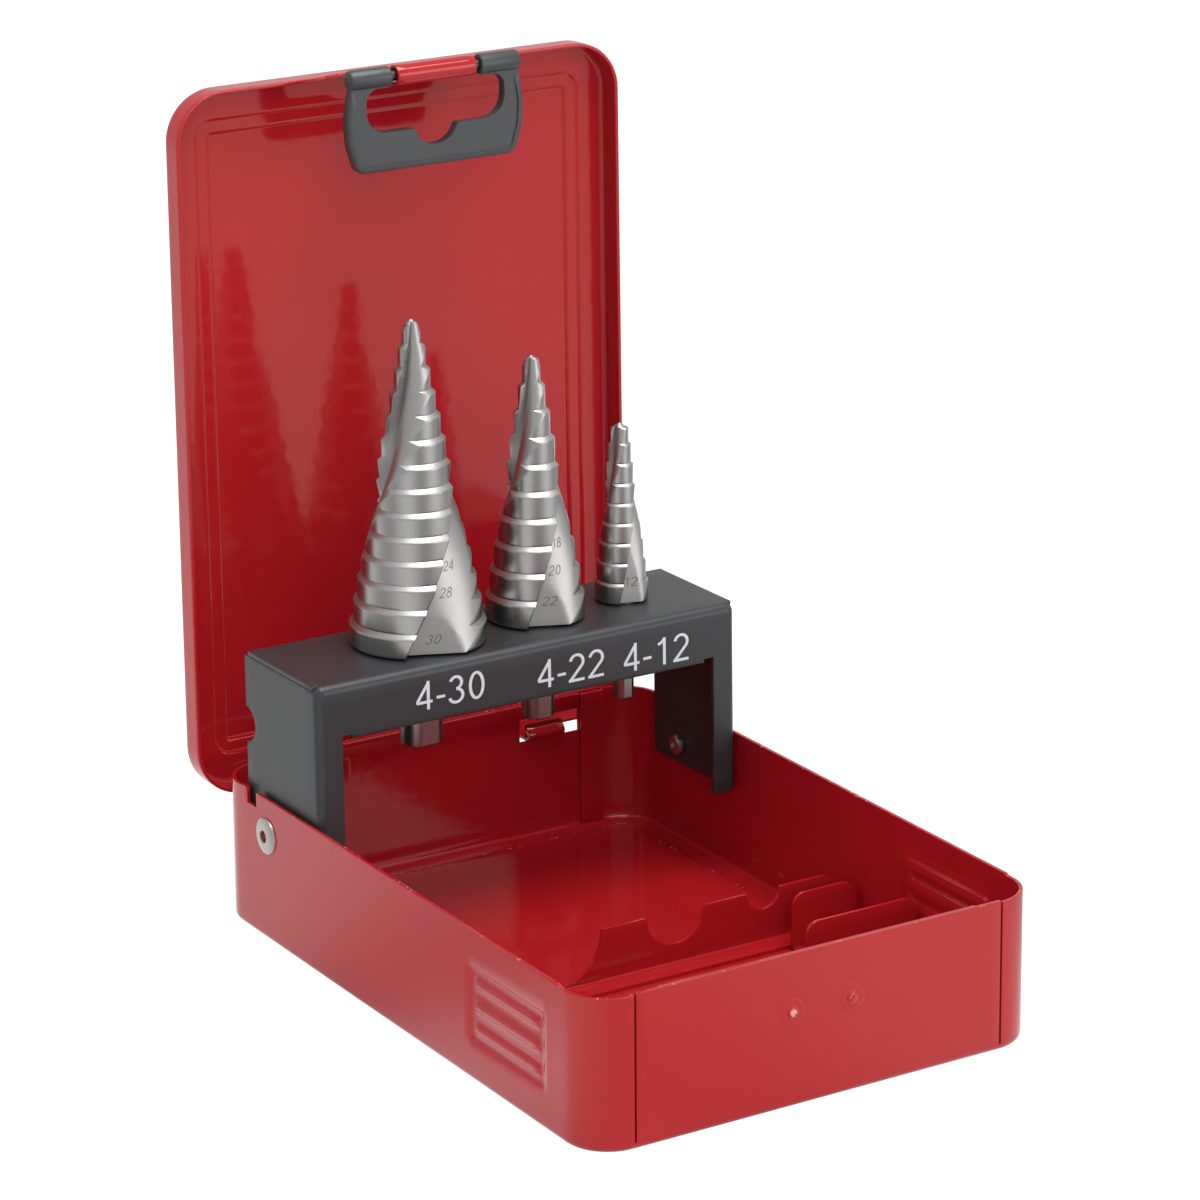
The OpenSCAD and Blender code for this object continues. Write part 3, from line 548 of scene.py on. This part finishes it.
def makeLidShell():
    # skirt, rolled edge and stepped panel, with a relief cut either side of the catch tab
    q = lid
    halfY, midY = (q["back"] - q["front"]) / 2, (q["back"] + q["front"]) / 2
    marks = [s * q[key] for s in (-1, 1) for key in ("reliefHalf", "catchHalf")]
    anchors, normals, xs, ys = loopAround(q["halfWidth"], halfY, q["corner"], marks, [], 3.5, 4.0)
    inset, drop = easing(q["roll"], range(0, 91, 15))
    profile = [(0, z) for z in (q["low"], q["low"] + 1.0, q["low"] + 2.2, q["top"] - q["roll"] - 0.5)]
    profile += list(zip(inset, q["top"] - drop)) + [(4.5, q["top"])]
    for k, at in enumerate(q["steps"]):
        profile += softStep(at, q["top"] + k * q["rise"], q["rise"], 0.55, 0.2, 0.06)
    panel = q["top"] + len(q["steps"]) * q["rise"]
    profile = [(i, z) for i, z in profile if i < q["corner"]] + [(q["corner"], panel)]
    p = ringPoints(anchors, normals, q["corner"], profile)
    p[..., 1] += midY
    xm, ym, zm = faceMiddles(p, True)
    relief = (zm < q["low"] + q["relief"]) & (ym < q["front"] + 0.5)
    relief &= (abs(xm) < q["reliefHalf"]) & (abs(xm) > q["catchHalf"])
    obj = pieceFrom("lidShell", [dict(points=swingOpen(p), closed=True, mask=~relief),
                                 dict(points=swingOpen(middleGrid(xs, ys + midY, panel)))])
    finishPiece(sheetOf(obj, q["sheet"], 0.16), "lid", enamel, ["lid"])


def makeCatchTab():
    # the tab carries the front skirt down to its end, which is rolled around the pin
    q = lid
    a = np.radians(np.linspace(0, q["rollTurn"], 26))
    r = q["rollOuter"] - q["sheet"]
    path = [(q["front"], z) for z in (q["low"], 28.0, 22.0)]
    path += list(zip(q["pinY"] + r * np.cos(a), q["pinZ"] + r * np.sin(a)))
    tab = strip(stations(-q["catchHalf"], q["catchHalf"], 2.0), path)
    obj = pieceFrom("catchTab", [dict(points=swingOpen(tab), flip=True)])
    finishPiece(sheetOf(obj, q["sheet"], 0.12), "lid", enamel)


def makeHooks():
    # hinge hooks: a leg down from the back skirt, a tight bend and a return leg behind the wall
    q = lid
    a = np.radians(np.linspace(0, q["bendTurn"], 12))
    path = [(q["back"], z) for z in (q["low"] + 0.4, 29.5, 27.0)]
    path += list(zip(q["bendY"] + q["bendOuter"] * np.cos(a), q["bendZ"] + q["bendOuter"] * np.sin(a)))
    tip = q["hookTip"] * math.sqrt(0.5)
    path.append((path[-1][0] - tip, path[-1][1] + tip))
    xs = stations(q["hookStart"], q["hookStart"] + q["hookWidth"], 2.0)
    grids = [dict(points=swingOpen(strip(s * xs, path)), flip=s < 0) for s in (-1, 1)]
    finishPiece(sheetOf(pieceFrom("hingeHooks", grids), q["sheet"], 0.12), "lid", enamel)


makeLidShell()
makeCatchTab()
makeHooks()

holder = dict(half=53.0, front=33.0, back=65.6, plateBack=64.0, low=20.0, top=63.8, sheet=1.0, bend=2.0,
              beamLow=51.4, reliefLow=52.2, reliefStart=44.6, flange=47.0, seam=0.15,
              notchLevel=47.0, notchRadius=4.0, notchReach=9.1)


def makeHolder():
    h = holder
    half, front, back, bend, top = (h[k] for k in ("half", "front", "back", "bend", "top"))
    # front frame and side plates: one sheet whose two upright corners are bent
    ys = stations(front + bend, back, 3.0)
    xs = stations(bend - half, half - bend, 3.5, [s * h[k] for s in (-1, 1) for k in ("flange", "reliefStart")])
    inset, setback = easing(bend, np.linspace(0, 90, 9)[1:-1])
    across = np.concatenate([ys * 0 - half, inset - half, xs, (half - inset)[::-1], ys * 0 + half])
    deep = np.concatenate([ys[::-1], front + setback, xs * 0 + front, (front + setback)[::-1], ys])
    bendStart = top - bend
    notch = h["notchLevel"] + h["notchRadius"] * np.sin(np.radians(range(-90, 91, 15)))
    marks = np.concatenate([[h["beamLow"], h["reliefLow"], bendStart], notch])
    zs = stations(h["low"], top - h["sheet"] - h["seam"], 3.0, marks)[:, None]
    # the rear columns draw in around the half-round notch, by sqrt(r^2 - z^2) at the edge
    dip = np.sqrt(np.maximum(h["notchRadius"] ** 2 - (zs - h["notchLevel"]) ** 2, 0))
    share = smoothStep((deep - back + h["notchReach"]) / h["notchReach"]) * (abs(across) > half - 1e-6)
    p = np.stack(np.broadcast_arrays(across, deep - dip * share, zs), axis=-1)
    xm, ym, zm = faceMiddles(p)
    opening = (ym < front + 0.01) & (abs(xm) < h["flange"])
    gap = opening & (zm < h["beamLow"]) | opening & (abs(xm) > h["reliefStart"]) & (zm < h["reliefLow"])
    gap |= (ym < front + bend) & (zm > bendStart)
    grids = [dict(points=leanBack(p), mask=~gap)]
    # top plate, bent down into the front frame
    inset, drop = easing(bend, np.linspace(0, 90, 9))
    path = list(zip(front + inset, top - drop))
    path += [(y, top) for y in stations(front + bend, h["plateBack"], 4.0)[1:]]
    grids.append(dict(points=leanBack(strip(xs, path))))
    reach = stations(half - bend, half, 1.0)
    rise, turn = np.meshgrid(np.radians(np.linspace(0, 90, 9)), np.radians(np.linspace(0, 90, 9)), indexing="ij")
    for s in (-1, 1):
        # the plate's side strips reach out over the side plates' edges behind the bend
        grids.append(dict(points=leanBack(strip(s * reach, path[8:])), flip=s < 0))
        # the front corner, where the upright bend meets the top's bend, is an eighth of a ball
        ball = np.stack([s * (half - bend + bend * np.cos(rise) * np.sin(turn)),
                         front + bend - bend * np.cos(rise) * np.cos(turn), bendStart + bend * np.sin(rise)], axis=-1)
        grids.append(dict(points=leanBack(ball), flip=s < 0))
    obj = pieceFrom("bracket", grids, weld=0.01)
    finishPiece(sheetOf(obj, h["sheet"], 0.2), "holder", black, ["bit_holder"])


makeHolder()

bits = dict(line=49.7, seat=63.8, shankLength=23.0, collar=0.6, first=4.0, twist=1.9, quicken=53.0,
            flatLean=6.5, flatTurn=16.0, shankFlat=0.91,
            large=dict(name="bitLarge", node="step_bit_30", body="bit_30", x=-18.7, base=30.0, steps=14,
                       length=72.3, shank=10.0, turn=-130.0, facet=0.79),
            middle=dict(name="bitMiddle", node="step_bit_22", body="bit_22", x=11.1, base=22.0, steps=10,
                        length=59.8, shank=7.6, turn=-130.0, facet=0.79),
            small=dict(name="bitSmall", node="step_bit_12", body="bit_12", x=33.6, base=12.0, steps=9,
                       length=40.9, shank=5.0, turn=-125.0, facet=0.79))


def fluteTurn(b, z):
    # the flutes' wall in degrees: the twist quickens towards the tip
    return b["turn"] + bits["twist"] * z + bits["quicken"] * (z / b["length"]) ** 2


def fluteSpan(f):
    # where the spiral would meet the taper, in degrees from the wall: wider over the upper half
    return 54 + 18 * smoothStep((f - 0.38) / 0.27)


def fluteRadius(b, a, z):
    # radius of the flute's surface at a degrees from its wall: a spiral, with a flat ground across the base
    length = b["length"] - bits["collar"]
    f = z / length
    drop = (b["base"] - bits["first"]) / (b["steps"] - 1)
    taper = np.maximum((b["base"] - drop * f * b["steps"]) / 2, 0.4)
    depth = 0.18 + 0.27 * smoothStep(f / 0.8)
    share = a / fluteSpan(f)
    hollow = 0.05 * np.sin(np.pi * np.clip(share, 0, 1)) * smoothStep(f / 0.3)
    spiral = taper * (1 - depth * (1 - share) - hollow)
    facing = np.cos(np.radians(a + bits["twist"] * z - bits["flatTurn"]))
    flat = b["facet"] * b["base"] / 2 - z * math.tan(math.radians(bits["flatLean"]))
    flat = np.where(facing > 0.2, flat / np.maximum(facing, 0.2), 99)
    return np.minimum(spiral, flat), taper, depth


def bandProfile(b):
    # height, radius and zone up the bit: each step is a band, a ledge leads to the next, and a point ends the last
    length = b["length"] - bits["collar"]
    base, first, pitch = b["base"] / 2, bits["first"] / 2, length / b["steps"]
    drop = (base - first) / (b["steps"] - 1)
    slope = min(drop * 0.9, 0.22 * pitch)
    rows = []
    for i in range(b["steps"] - 1):
        bottom, shoulder, r = i * pitch, (i + 1) * pitch - slope, base - i * drop
        rows += [(bottom + 0.02, r - 0.03, 0.5), (bottom + 0.12, r, 0)]
        rows += [(z, r, 0) for z in np.linspace(bottom + 0.5, shoulder - 0.35, 7)]
        rows += [(shoulder - 0.08, r, 0), (shoulder, r - 0.03, 0.5)]
        rows += [(shoulder + slope * f, r - drop * f, 0.5) for f in (0.25, 0.5, 0.75)]
    tip = first * 0.6
    rows += [(z, first, 0) for z in np.linspace(length - pitch + 0.02, length - tip, 10)]
    rows += [(length - tip * (1 - f), first * (1 - f), 0.5) for f in (0.3, 0.6, 0.85, 0.97)]
    return np.array(rows).T[:, :, None]


def flutedBody(b):
    # Radius as a function of angle and height. Columns follow the flutes: the angle is measured from a flute's
    # wall, which turns with height. The radius is the least of the band's, the spiral's and the base flat's.
    z, band, ledge = bandProfile(b)
    smooth, depth = fluteRadius(b, 0.0, z)[1:]
    ratio = band / np.minimum(smooth, np.maximum(band, 0.02) * 1.3)
    length = b["length"] - bits["collar"]
    width = np.clip(fluteSpan(z / length) * (ratio - (1 - depth)) / depth, 12, 150)  # the spiral meets the band here
    inFlute = width * np.linspace(0, 1, 26)
    onLand = width + (179.6 - width) * np.concatenate([np.linspace(0, 1, 14)[1:-1], [0.985, 0.996, 1.0]])
    landRadius = np.broadcast_to(band, onLand.shape).copy()
    landRadius[:, -1] -= 0.04 * np.minimum(1, band[:, 0] / 4)  # the cutting edge stands a hair proud of the wall
    half = np.concatenate([inFlute, onLand], axis=1)
    r = np.concatenate([np.minimum(fluteRadius(b, inFlute, z)[0], band), landRadius], axis=1)
    zone = np.concatenate([np.ones_like(inFlute), np.broadcast_to(ledge, onLand.shape)], axis=1)
    r, zone = np.tile(r, 2), np.tile(zone, 2)  # two flutes
    t = np.radians(np.concatenate([half, half + 180], axis=1) + fluteTurn(b, z))
    seat = bits["seat"] + bits["collar"]
    p = np.stack(np.broadcast_arrays(b["x"] + r * np.cos(t), bits["line"] + r * np.sin(t), seat + z), axis=-1)
    ends = [np.broadcast_to([b["x"], bits["line"], seat + h], p[:1].shape) for h in (z[0, 0], length)]
    # the lowest row comes twice, because its copies settle which of two near points the weld keeps
    return dict(points=leanBack(np.concatenate([ends[0], p[:1], p, ends[1]])), closed=True,
                zone=np.concatenate([zone[:1], zone[:1], zone, zone[-1:]]))


def shankOf(b):
    # collar and shank; three flats are cut along the shank below the plate
    q, deep = b["shank"] / 2, bits["shankLength"]
    t = np.radians(np.arange(0, 360, 3.0))
    facing = np.cos(t - np.radians([[30], [150], [270]]))
    flats = np.where(facing > 0.2, bits["shankFlat"] * q / np.maximum(facing, 0.2), 99).min(axis=0)
    high, plain = bits["collar"] + 0.1, np.full(len(t), q)
    rows = [(high, plain * 0), (high, plain + 1), (0.0, plain + 1), (0.0, plain), (-4.0, plain)]
    rows += [(z, np.minimum(plain, flats)) for z in (-4.6, -12, -22.2, 0.5 - deep)]
    rows += [(-deep, np.minimum(plain, flats) - 0.5), (-deep, plain * 0)]
    p = [np.column_stack([b["x"] + r * np.cos(t), bits["line"] + r * np.sin(t), np.full(len(t), bits["seat"] + z)])
         for z, r in rows]
    return dict(points=leanBack(p), closed=True, flip=True)


for size in ("large", "middle", "small"):
    bit = bits[size]
    obj = pieceFrom(bit["name"], [flutedBody(bit), shankOf(bit)], weld=0.002, sharp=28)
    finishPiece(obj, bit["body"], steel, [bit["node"]])

# profiles of (along, radius) from the case's middle
rivet = dict(wall=54.5, head=4.1, thick=0.95, hole=1.35, tail=2.5, tailOuter=52.0, tailInner=50.2, mandrel=1.1)


def makeRivets():
    v = rivet
    wall, outer, inner, tail, stem = (v[k] for k in ("wall", "tailOuter", "tailInner", "tail", "mandrel"))
    face = wall + v["thick"]
    headPart = [(wall - 1.6, v["hole"] - 0.1), (face - 0.15, v["hole"]), (face, v["hole"] + 0.2), (face - 0.03, 2.4),
                (face - 0.22, 3.3), (wall + 0.42, v["head"] - 0.12), (wall + 0.2, v["head"]),
                (wall - 0.02, v["head"]), (wall - 0.02, 1.9)]
    tailPart = [(outer - 0.1, 0.02), (outer - 0.1, tail - 0.1), (outer - 0.4, tail), (51.2, tail), (50.6, tail - 0.2),
                (50.3, tail - 0.7), (inner, 1.5), (inner + 0.05, 1.15), (inner + 0.5, 1.1), (inner + 0.5, 0.02)]
    bodyPart = [(outer - 0.2, 0.02), (outer - 0.2, 2.0), (wall, 2.0)]
    stemPart = [(51.3, 0.02), (51.3, stem - 0.1), (51.4, stem), (53.9, stem), (54.1, 0.8), (53.95, 0.45),
                (54.05, 0.02)]
    centre = (0, rivetAxis["y"], rivetAxis["z"])
    for s, name in ((-1, "Left"), (1, "Right")):
        grids = [dict(points=lathe(part, centre, "x", 56, s), closed=True) for part in (headPart, tailPart, bodyPart)]
        obj = pieceFrom("rivet" + name, grids, recalc=True)
        finishPiece(obj, "base", rivetMetal, ["rivet_" + name.lower()])
        # the mandrel sits back in the hole, and its darkened colour paints the hole's shade
        grids = [dict(points=lathe(stemPart, centre, "x", 40, s), closed=True)]
        obj = pieceFrom("mandrel" + name, grids, recalc=True)
        finishPiece(obj, "base", mandrelPaintedShadeMetal, ["mandrel_" + name.lower()])


makeRivets()

latch = dict(half=21.2, bulge=0.9, knuckle=2.3, knuckleStart=11.2, length=21.0, thick=2.4, waist=-9.0, lower=-14.5,
             foot=19.7, slotHalf=17.2, slotHigh=-2.3, slotLow=-12.1, notch=5.4, notchAt=-10.8, lip=0.35,
             pinHalf=17.2, pinRadius=1.2)
pinOpen = swingOpen([(0, lid["pinY"], lid["pinZ"])])[0]


def latchOutlines(n):
    # outer and inner edges of the plate from the left knuckle down, across and up to the right one, with n points
    # each; point by point they face each other
    q = latch

    def mirrored(left):
        return left + [(-x, z) for x, z in left[::-1]]

    def even(line, start):
        # a tenth of the points at each end goes to the part hidden by a knuckle, so no two cross lines meet
        along = np.concatenate([[0], np.cumsum(np.linalg.norm(np.diff(line, axis=0), axis=1))])
        share = np.interp(np.linspace(0, 1, n), [0, 0.1, 0.9, 1], [0, start, along[-1] - start, along[-1]])
        return np.column_stack([np.interp(share, along, line[:, k]) for k in (0, 1)])

    h, b = q["half"], q["bulge"]
    sides = mirrored([(0.5 - h, 1.0), (0.3 - h, -1.7), (-h - b, q["waist"]), (-h - b * 0.5, q["lower"]),
                      (-q["foot"], 0.3 - q["length"])])
    outer = bent(sides, [4, 9, 6, 2.6, 2.6, 6, 9, 4], 8)
    # the slot is a stadium with a round notch let into its lower edge
    end, r = (q["slotHigh"] - q["slotLow"]) / 2, q["notch"]
    spread = math.acos((q["notchAt"] - q["slotLow"]) / r)
    notch = [(-r * math.sin(t), q["notchAt"] - r * math.cos(t)) for t in np.linspace(spread, 0.18, 6)]
    slot = mirrored([(-q["knuckleStart"], 1.2), (-q["knuckleStart"], q["slotHigh"]), (-q["slotHalf"], q["slotHigh"]),
                     (-q["slotHalf"], q["slotLow"])] + notch)
    inner = bent(slot, [0.5, end, end, 0.9] + [1.0] * 10 + [0.9, end, end, 0.5])
    hidden = 1.2 - q["slotHigh"] + q["slotHalf"] - q["knuckleStart"] - end * (1 - math.pi / 6)
    return even(outer, 3.0), even(inner, hidden)


def leftOf(line):
    # unit direction square to a line, to the left of its run
    run = np.gradient(line, axis=0)
    return np.column_stack([-run[:, 1], run[:, 0]]) / np.linalg.norm(run, axis=1)[:, None]


def makeLatch():
    # the plate is a closed section carried along its two outlines, and each knuckle is turned about the pin
    q = latch
    outer, inner = latchOutlines(181)
    inward, outward = leftOf(outer), -leftOf(inner)
    half, r = q["thick"] / 2, q["knuckle"]
    lip = smoothStep((-outer[:, 1] - 2) / 4) * q["lip"]
    # (1 at the outer and 0 at the inner edge, mm in from that edge, height): bevels, face, raised lip, edge and back
    section = [(0, 0, half * 0.55), (0, 0.03, half * 0.85), (0, 0.15, half), (0, 0.3, half), (1, 1.7, half),
               (1, 1.45, half), (1, 1.32, half + lip), (1, 0.42, half + lip), (1, 0.25, half + lip * 0.7),
               (1, 0.12, half), (1, 0.0, half * 0.8), (1, 0.0, -half * 0.8), (1, 0.2, -half), (1, 0.4, -half),
               (0, 0.4, -half), (0, 0.2, -half), (0, 0.0, -half * 0.85)]
    rows = []
    for edge, mm, height in section:
        x, z = (outer + inward * mm if edge else inner + outward * mm).T
        rows.append(np.column_stack([x, np.broadcast_to(-height, len(x)), z]))
    grids = [dict(points=(np.array(rows) + pinOpen).transpose(1, 0, 2), closed=True)]
    a, b = q["knuckleStart"], q["half"]
    ring = [(a, q["pinRadius"] + 0.05), (a, r - 0.25), (a + 0.25, r), (b - 0.7, r), (b - 0.2, r - 0.25), (b, r - 0.8),
            (b, 0.02)]
    grids += [dict(points=lathe(ring, pinOpen, "x", 40, s), closed=True) for s in (-1, 1)]
    finishPiece(pieceFrom("hangLatch", grids, recalc=True, sharp=40), "latch", plastic, ["latch"])


def makeLatchPin():
    end, r = latch["pinHalf"], latch["pinRadius"]
    right = [(end - 0.15, r), (end, r - 0.15), (end, 0.02)]
    profile = [(-x, q) for x, q in right[::-1]] + right
    obj = pieceFrom("latchPin", [dict(points=lathe(profile, pinOpen, "x", 32), closed=True)], recalc=True)
    finishPiece(obj, "pin", pinMetal, ["latch_pin"])


makeLatch()
makeLatchPin()

# widths are shares of the height; front marks are (text, x, z), etched ones (text, height above the bit's base)
numbers = dict(height=6.4, width=1.16, stroke=0.100, advance=0.78, dash=0.47, lift=0.05, layer=0.002,
               front=(("4-30", -20.5, 57.4), ("4-22", 9.9, 56.6), ("4-12", 32.0, 56.2)),
               etchedHeight=2.1, etchedAt=21.0, etchedLift=0.03,
               etched=dict(large=(("24", 18.2), ("28", 12.8), ("30", 3.2)),
                           middle=(("18", 17.6), ("20", 11.9), ("22", 5.4)), small=(("12", 4.6),)))


def digitStrokes():
    # centre lines of the plain figures in a box one unit high, from arcs (x + rx cos t, y + ry sin t) and lines
    def arc(x, y, rx, ry, start, end, n=22):
        t = np.radians(np.linspace(start, end, n))
        return np.column_stack([x + rx * np.cos(t), y + ry * np.sin(t)])

    def line(*points):
        return np.array(points, float)

    hook = np.concatenate([arc(0.28, 0.70, 0.22, 0.25, 168, -32), [(0.09, 0.10), (0.05, 0.052)]])
    return {"0": [arc(0.29, 0.5, 0.215, 0.448, 0, 360, 40)],
            "1": [line((0.36, 0.0), (0.36, 0.98)), line((0.36, 0.93), (0.27, 0.83), (0.14, 0.755))],
            "2": [hook, line((0.0, 0.052), (0.54, 0.052))],
            "3": [arc(0.27, 0.735, 0.19, 0.21, 160, -88), arc(0.27, 0.285, 0.225, 0.235, 88, -165)],
            "4": [line((0.56, 0.27), (0.03, 0.27), (0.42, 0.93)), line((0.42, 1.0), (0.42, 0.0))],
            "8": [arc(0.29, 0.74, 0.18, 0.205, 0, 360, 32), arc(0.29, 0.275, 0.225, 0.235, 0, 360, 36)],
            "-": [line((0.02, 0.36), (0.31, 0.36))]}


def written(text, height):
    # ribbons of (across, up) in mm, centred on the text: each centre line plus and minus half a stroke
    n, strokes, cursor, ribbons = numbers, digitStrokes(), 0.0, []
    for character in text:
        for path in strokes[character]:
            at = np.linspace(0, len(path) - 1, 6 * len(path))
            fine = np.column_stack([np.interp(at, range(len(path)), path[:, k]) for k in (0, 1)])
            along = np.gradient(fine, axis=0)
            along /= np.linalg.norm(along, axis=1)[:, None] + 1e-9
            side = np.column_stack([-along[:, 1], along[:, 0]]) * n["stroke"] / 2
            ribbons.append(np.stack([fine - side, fine + side]) * [n["width"], 1] + [cursor, 0])
        cursor += n["dash"] if character == "-" else n["advance"]
    middle = (cursor - n["advance"] + 0.56 * n["width"]) / 2
    return [(r - [middle, 0.5]) * height for r in ribbons]


def makePrint(text, x, z):
    # on the holder's front, each stroke a hair above the one before
    n, grids = numbers, []
    for k, r in enumerate(written(text, n["height"])):
        level = np.full(r.shape[:2], holder["front"] - n["lift"] - n["layer"] * k)
        grids.append(dict(points=leanBack(np.stack([x + r[..., 0], level, z + r[..., 1]], axis=-1)), flip=True))
    finishPiece(pieceFrom("print" + text, grids), "holder", whitePrint)


def makeEtched(b, marks):
    # wrapped onto the flute's surface, at fluteRadius plus a hair, along the turn of its wall
    n, grids, seat = numbers, [], bits["seat"] + bits["collar"]
    for text, height in marks:
        for k, r in enumerate(written(text, n["etchedHeight"])):
            z = height + r[..., 1]
            a = n["etchedAt"] + np.degrees(r[..., 0] / (b["base"] * 0.38))
            t = np.radians(a + fluteTurn(b, z))
            out = fluteRadius(b, a, z)[0] + n["etchedLift"] + n["layer"] * k
            p = np.stack([b["x"] + out * np.cos(t), bits["line"] + out * np.sin(t), seat + z], axis=-1)
            grids.append(dict(points=leanBack(p), flip=True))
    finishPiece(pieceFrom(b["name"] + "Marks", grids), b["body"], etched)


for mark in numbers["front"]:
    makePrint(*mark)
for size, marks in numbers["etched"].items():
    makeEtched(bits[size], marks)

# the camera's place is in mm, its focal length and middle in pixels of the photograph's frame
view = dict(place=(-502.71, -805.68, 399.29), yaw=31.64, pitch=14.2, roll=-0.45, focal=4755.97,
            middle=(584.7, 252.24), frame=1200)
room = dict(world=0.46, glossy=0.75, shadow=0.25, white=1.28, floorGlossy=1.25, fade=0.35, fadeOver=1.2,
            bands=4.0, bandDepth=0.5, bandFrom=58.4)
lamps = dict(key=dict(power=8.5, place=(-0.5, -1.25, 0.95), size=(0.9, 0.9), mirrored=False),
             left=dict(power=7.0, place=(-1.25, 0.5, 0.6), size=(1.0, 0.8), mirrored=False),
             fill=dict(power=7.0, place=(0.7, -1.2, 0.24), size=(1.0, 0.8), mirrored=True),
             top=dict(power=17.0, place=(0.15, -0.25, 1.3), size=(0.8, 0.8), mirrored=True))


def makeFloor():
    # Seen straight it is white with a faint shadow; shiny parts see a room with darker stretches around it.
    s = np.linspace(-4000, 4000, 9)
    floor = pieceFrom("floor", [dict(points=middleGrid(s, s, -0.02))])
    m, white = Paint("paleFloor"), (1, 1, 1, 1)
    soft = m.node("ShaderNodeBsdfDiffuse", {}, Color=(0.85, 0.85, 0.85, 1))
    bright = m.node("ShaderNodeEmission", {}, Color=white, Strength=room["white"])
    x = m.node("ShaderNodeSeparateXYZ", {}, m.place(), output="X")
    y = m.node("ShaderNodeSeparateXYZ", {}, m.place(), output="Y")
    azimuth = m.node("ShaderNodeMath", dict(operation="ARCTAN2"), y, x)
    phase = math.radians(room["bands"] * room["bandFrom"] - 90)
    band = ((azimuth * room["bands"] + phase).sine() * 0.5 + 0.5) * room["bandDepth"]
    away = m.node("ShaderNodeVectorMath", dict(operation="LENGTH"), m.place(), output="Value") / room["fadeOver"]
    strength = (1 - band) * (1 - away.clamp() * room["fade"]) * room["floorGlossy"]
    around = m.node("ShaderNodeEmission", {}, Color=white, Strength=strength)
    shiny = m.node("ShaderNodeLightPath", output="Is Glossy Ray")
    seen = m.node("ShaderNodeLightPath", output="Is Camera Ray")
    inside = m.node("ShaderNodeMixShader", {}, shiny, soft, around)
    mix = m.node("ShaderNodeMixShader", {}, seen * (1 - room["shadow"]), inside, bright)
    floor.data.materials.append(m.output(mix))


def makeWorld():
    world = bpy.data.worlds.new("studio")
    bpy.context.scene.world = world
    world.use_nodes = True
    tree = world.node_tree
    tree.nodes.clear()

    def background(strength, colour=(1, 1, 1, 1)):
        n = tree.nodes.new("ShaderNodeBackground")
        n.inputs[0].default_value, n.inputs[1].default_value = colour, strength
        return n.outputs[0]

    def mixed(factor, first, second):
        n = tree.nodes.new("ShaderNodeMixShader")
        for k, link in enumerate((factor, first, second)):
            tree.links.new(link, n.inputs[k])
        return n.outputs[0]

    path = tree.nodes.new("ShaderNodeLightPath")
    result = background(room["world"], (0.95, 0.97, 1.0, 1))
    result = mixed(path.outputs["Is Glossy Ray"], result, background(room["glossy"]))
    result = mixed(path.outputs["Is Camera Ray"], result, background(1.0))
    result = mixed(path.outputs["Is Transmission Ray"], result, background(1.0))
    tree.links.new(result, tree.nodes.new("ShaderNodeOutputWorld").inputs[0])


def makeLamp(name, power, place, size, mirrored):
    lamp = bpy.data.lights.new(name, "AREA")
    lamp.shape, lamp.size, lamp.size_y, lamp.energy = "RECTANGLE", size[0], size[1], power
    obj = bpy.data.objects.new(name, lamp)
    obj.location = Vector(place)
    obj.rotation_euler = (Vector((0, 0, 0.05)) - Vector(place)).to_track_quat("-Z", "Y").to_euler()
    obj.visible_glossy = mirrored
    bpy.context.scene.collection.objects.link(obj)


def makeCamera():
    v = view
    yaw, pitch, roll = (math.radians(v[k]) for k in ("yaw", "pitch", "roll"))
    forward = Vector((math.sin(yaw) * math.cos(pitch), math.cos(yaw) * math.cos(pitch), -math.sin(pitch)))
    right = Vector((math.cos(yaw), -math.sin(yaw), 0))
    up = right.cross(forward)
    right, up = right * math.cos(roll) + up * math.sin(roll), up * math.cos(roll) - right * math.sin(roll)
    cam = bpy.data.cameras.new("camera")
    cam.sensor_width = 36
    cam.lens = v["focal"] * 36 / v["frame"]
    cam.shift_x = (v["frame"] / 2 - v["middle"][0]) / v["frame"]
    cam.shift_y = (v["middle"][1] - v["frame"] / 2) / v["frame"]
    cam.clip_start, cam.clip_end = 0.05, 30
    obj = bpy.data.objects.new("camera", cam)
    m = Matrix((right, up, -forward)).transposed().to_4x4()
    m.translation = Vector((v["place"][0], v["place"][1] + shiftY, v["place"][2])) / 1000
    obj.matrix_world = m
    bpy.context.scene.collection.objects.link(obj)
    bpy.context.scene.camera = obj


makeFloor()
makeWorld()
for name, lamp in lamps.items():
    makeLamp(name + "Light", **lamp)
makeCamera()
bpy.context.scene.view_settings.view_transform = "Standard"
print("floor, light and camera ready")
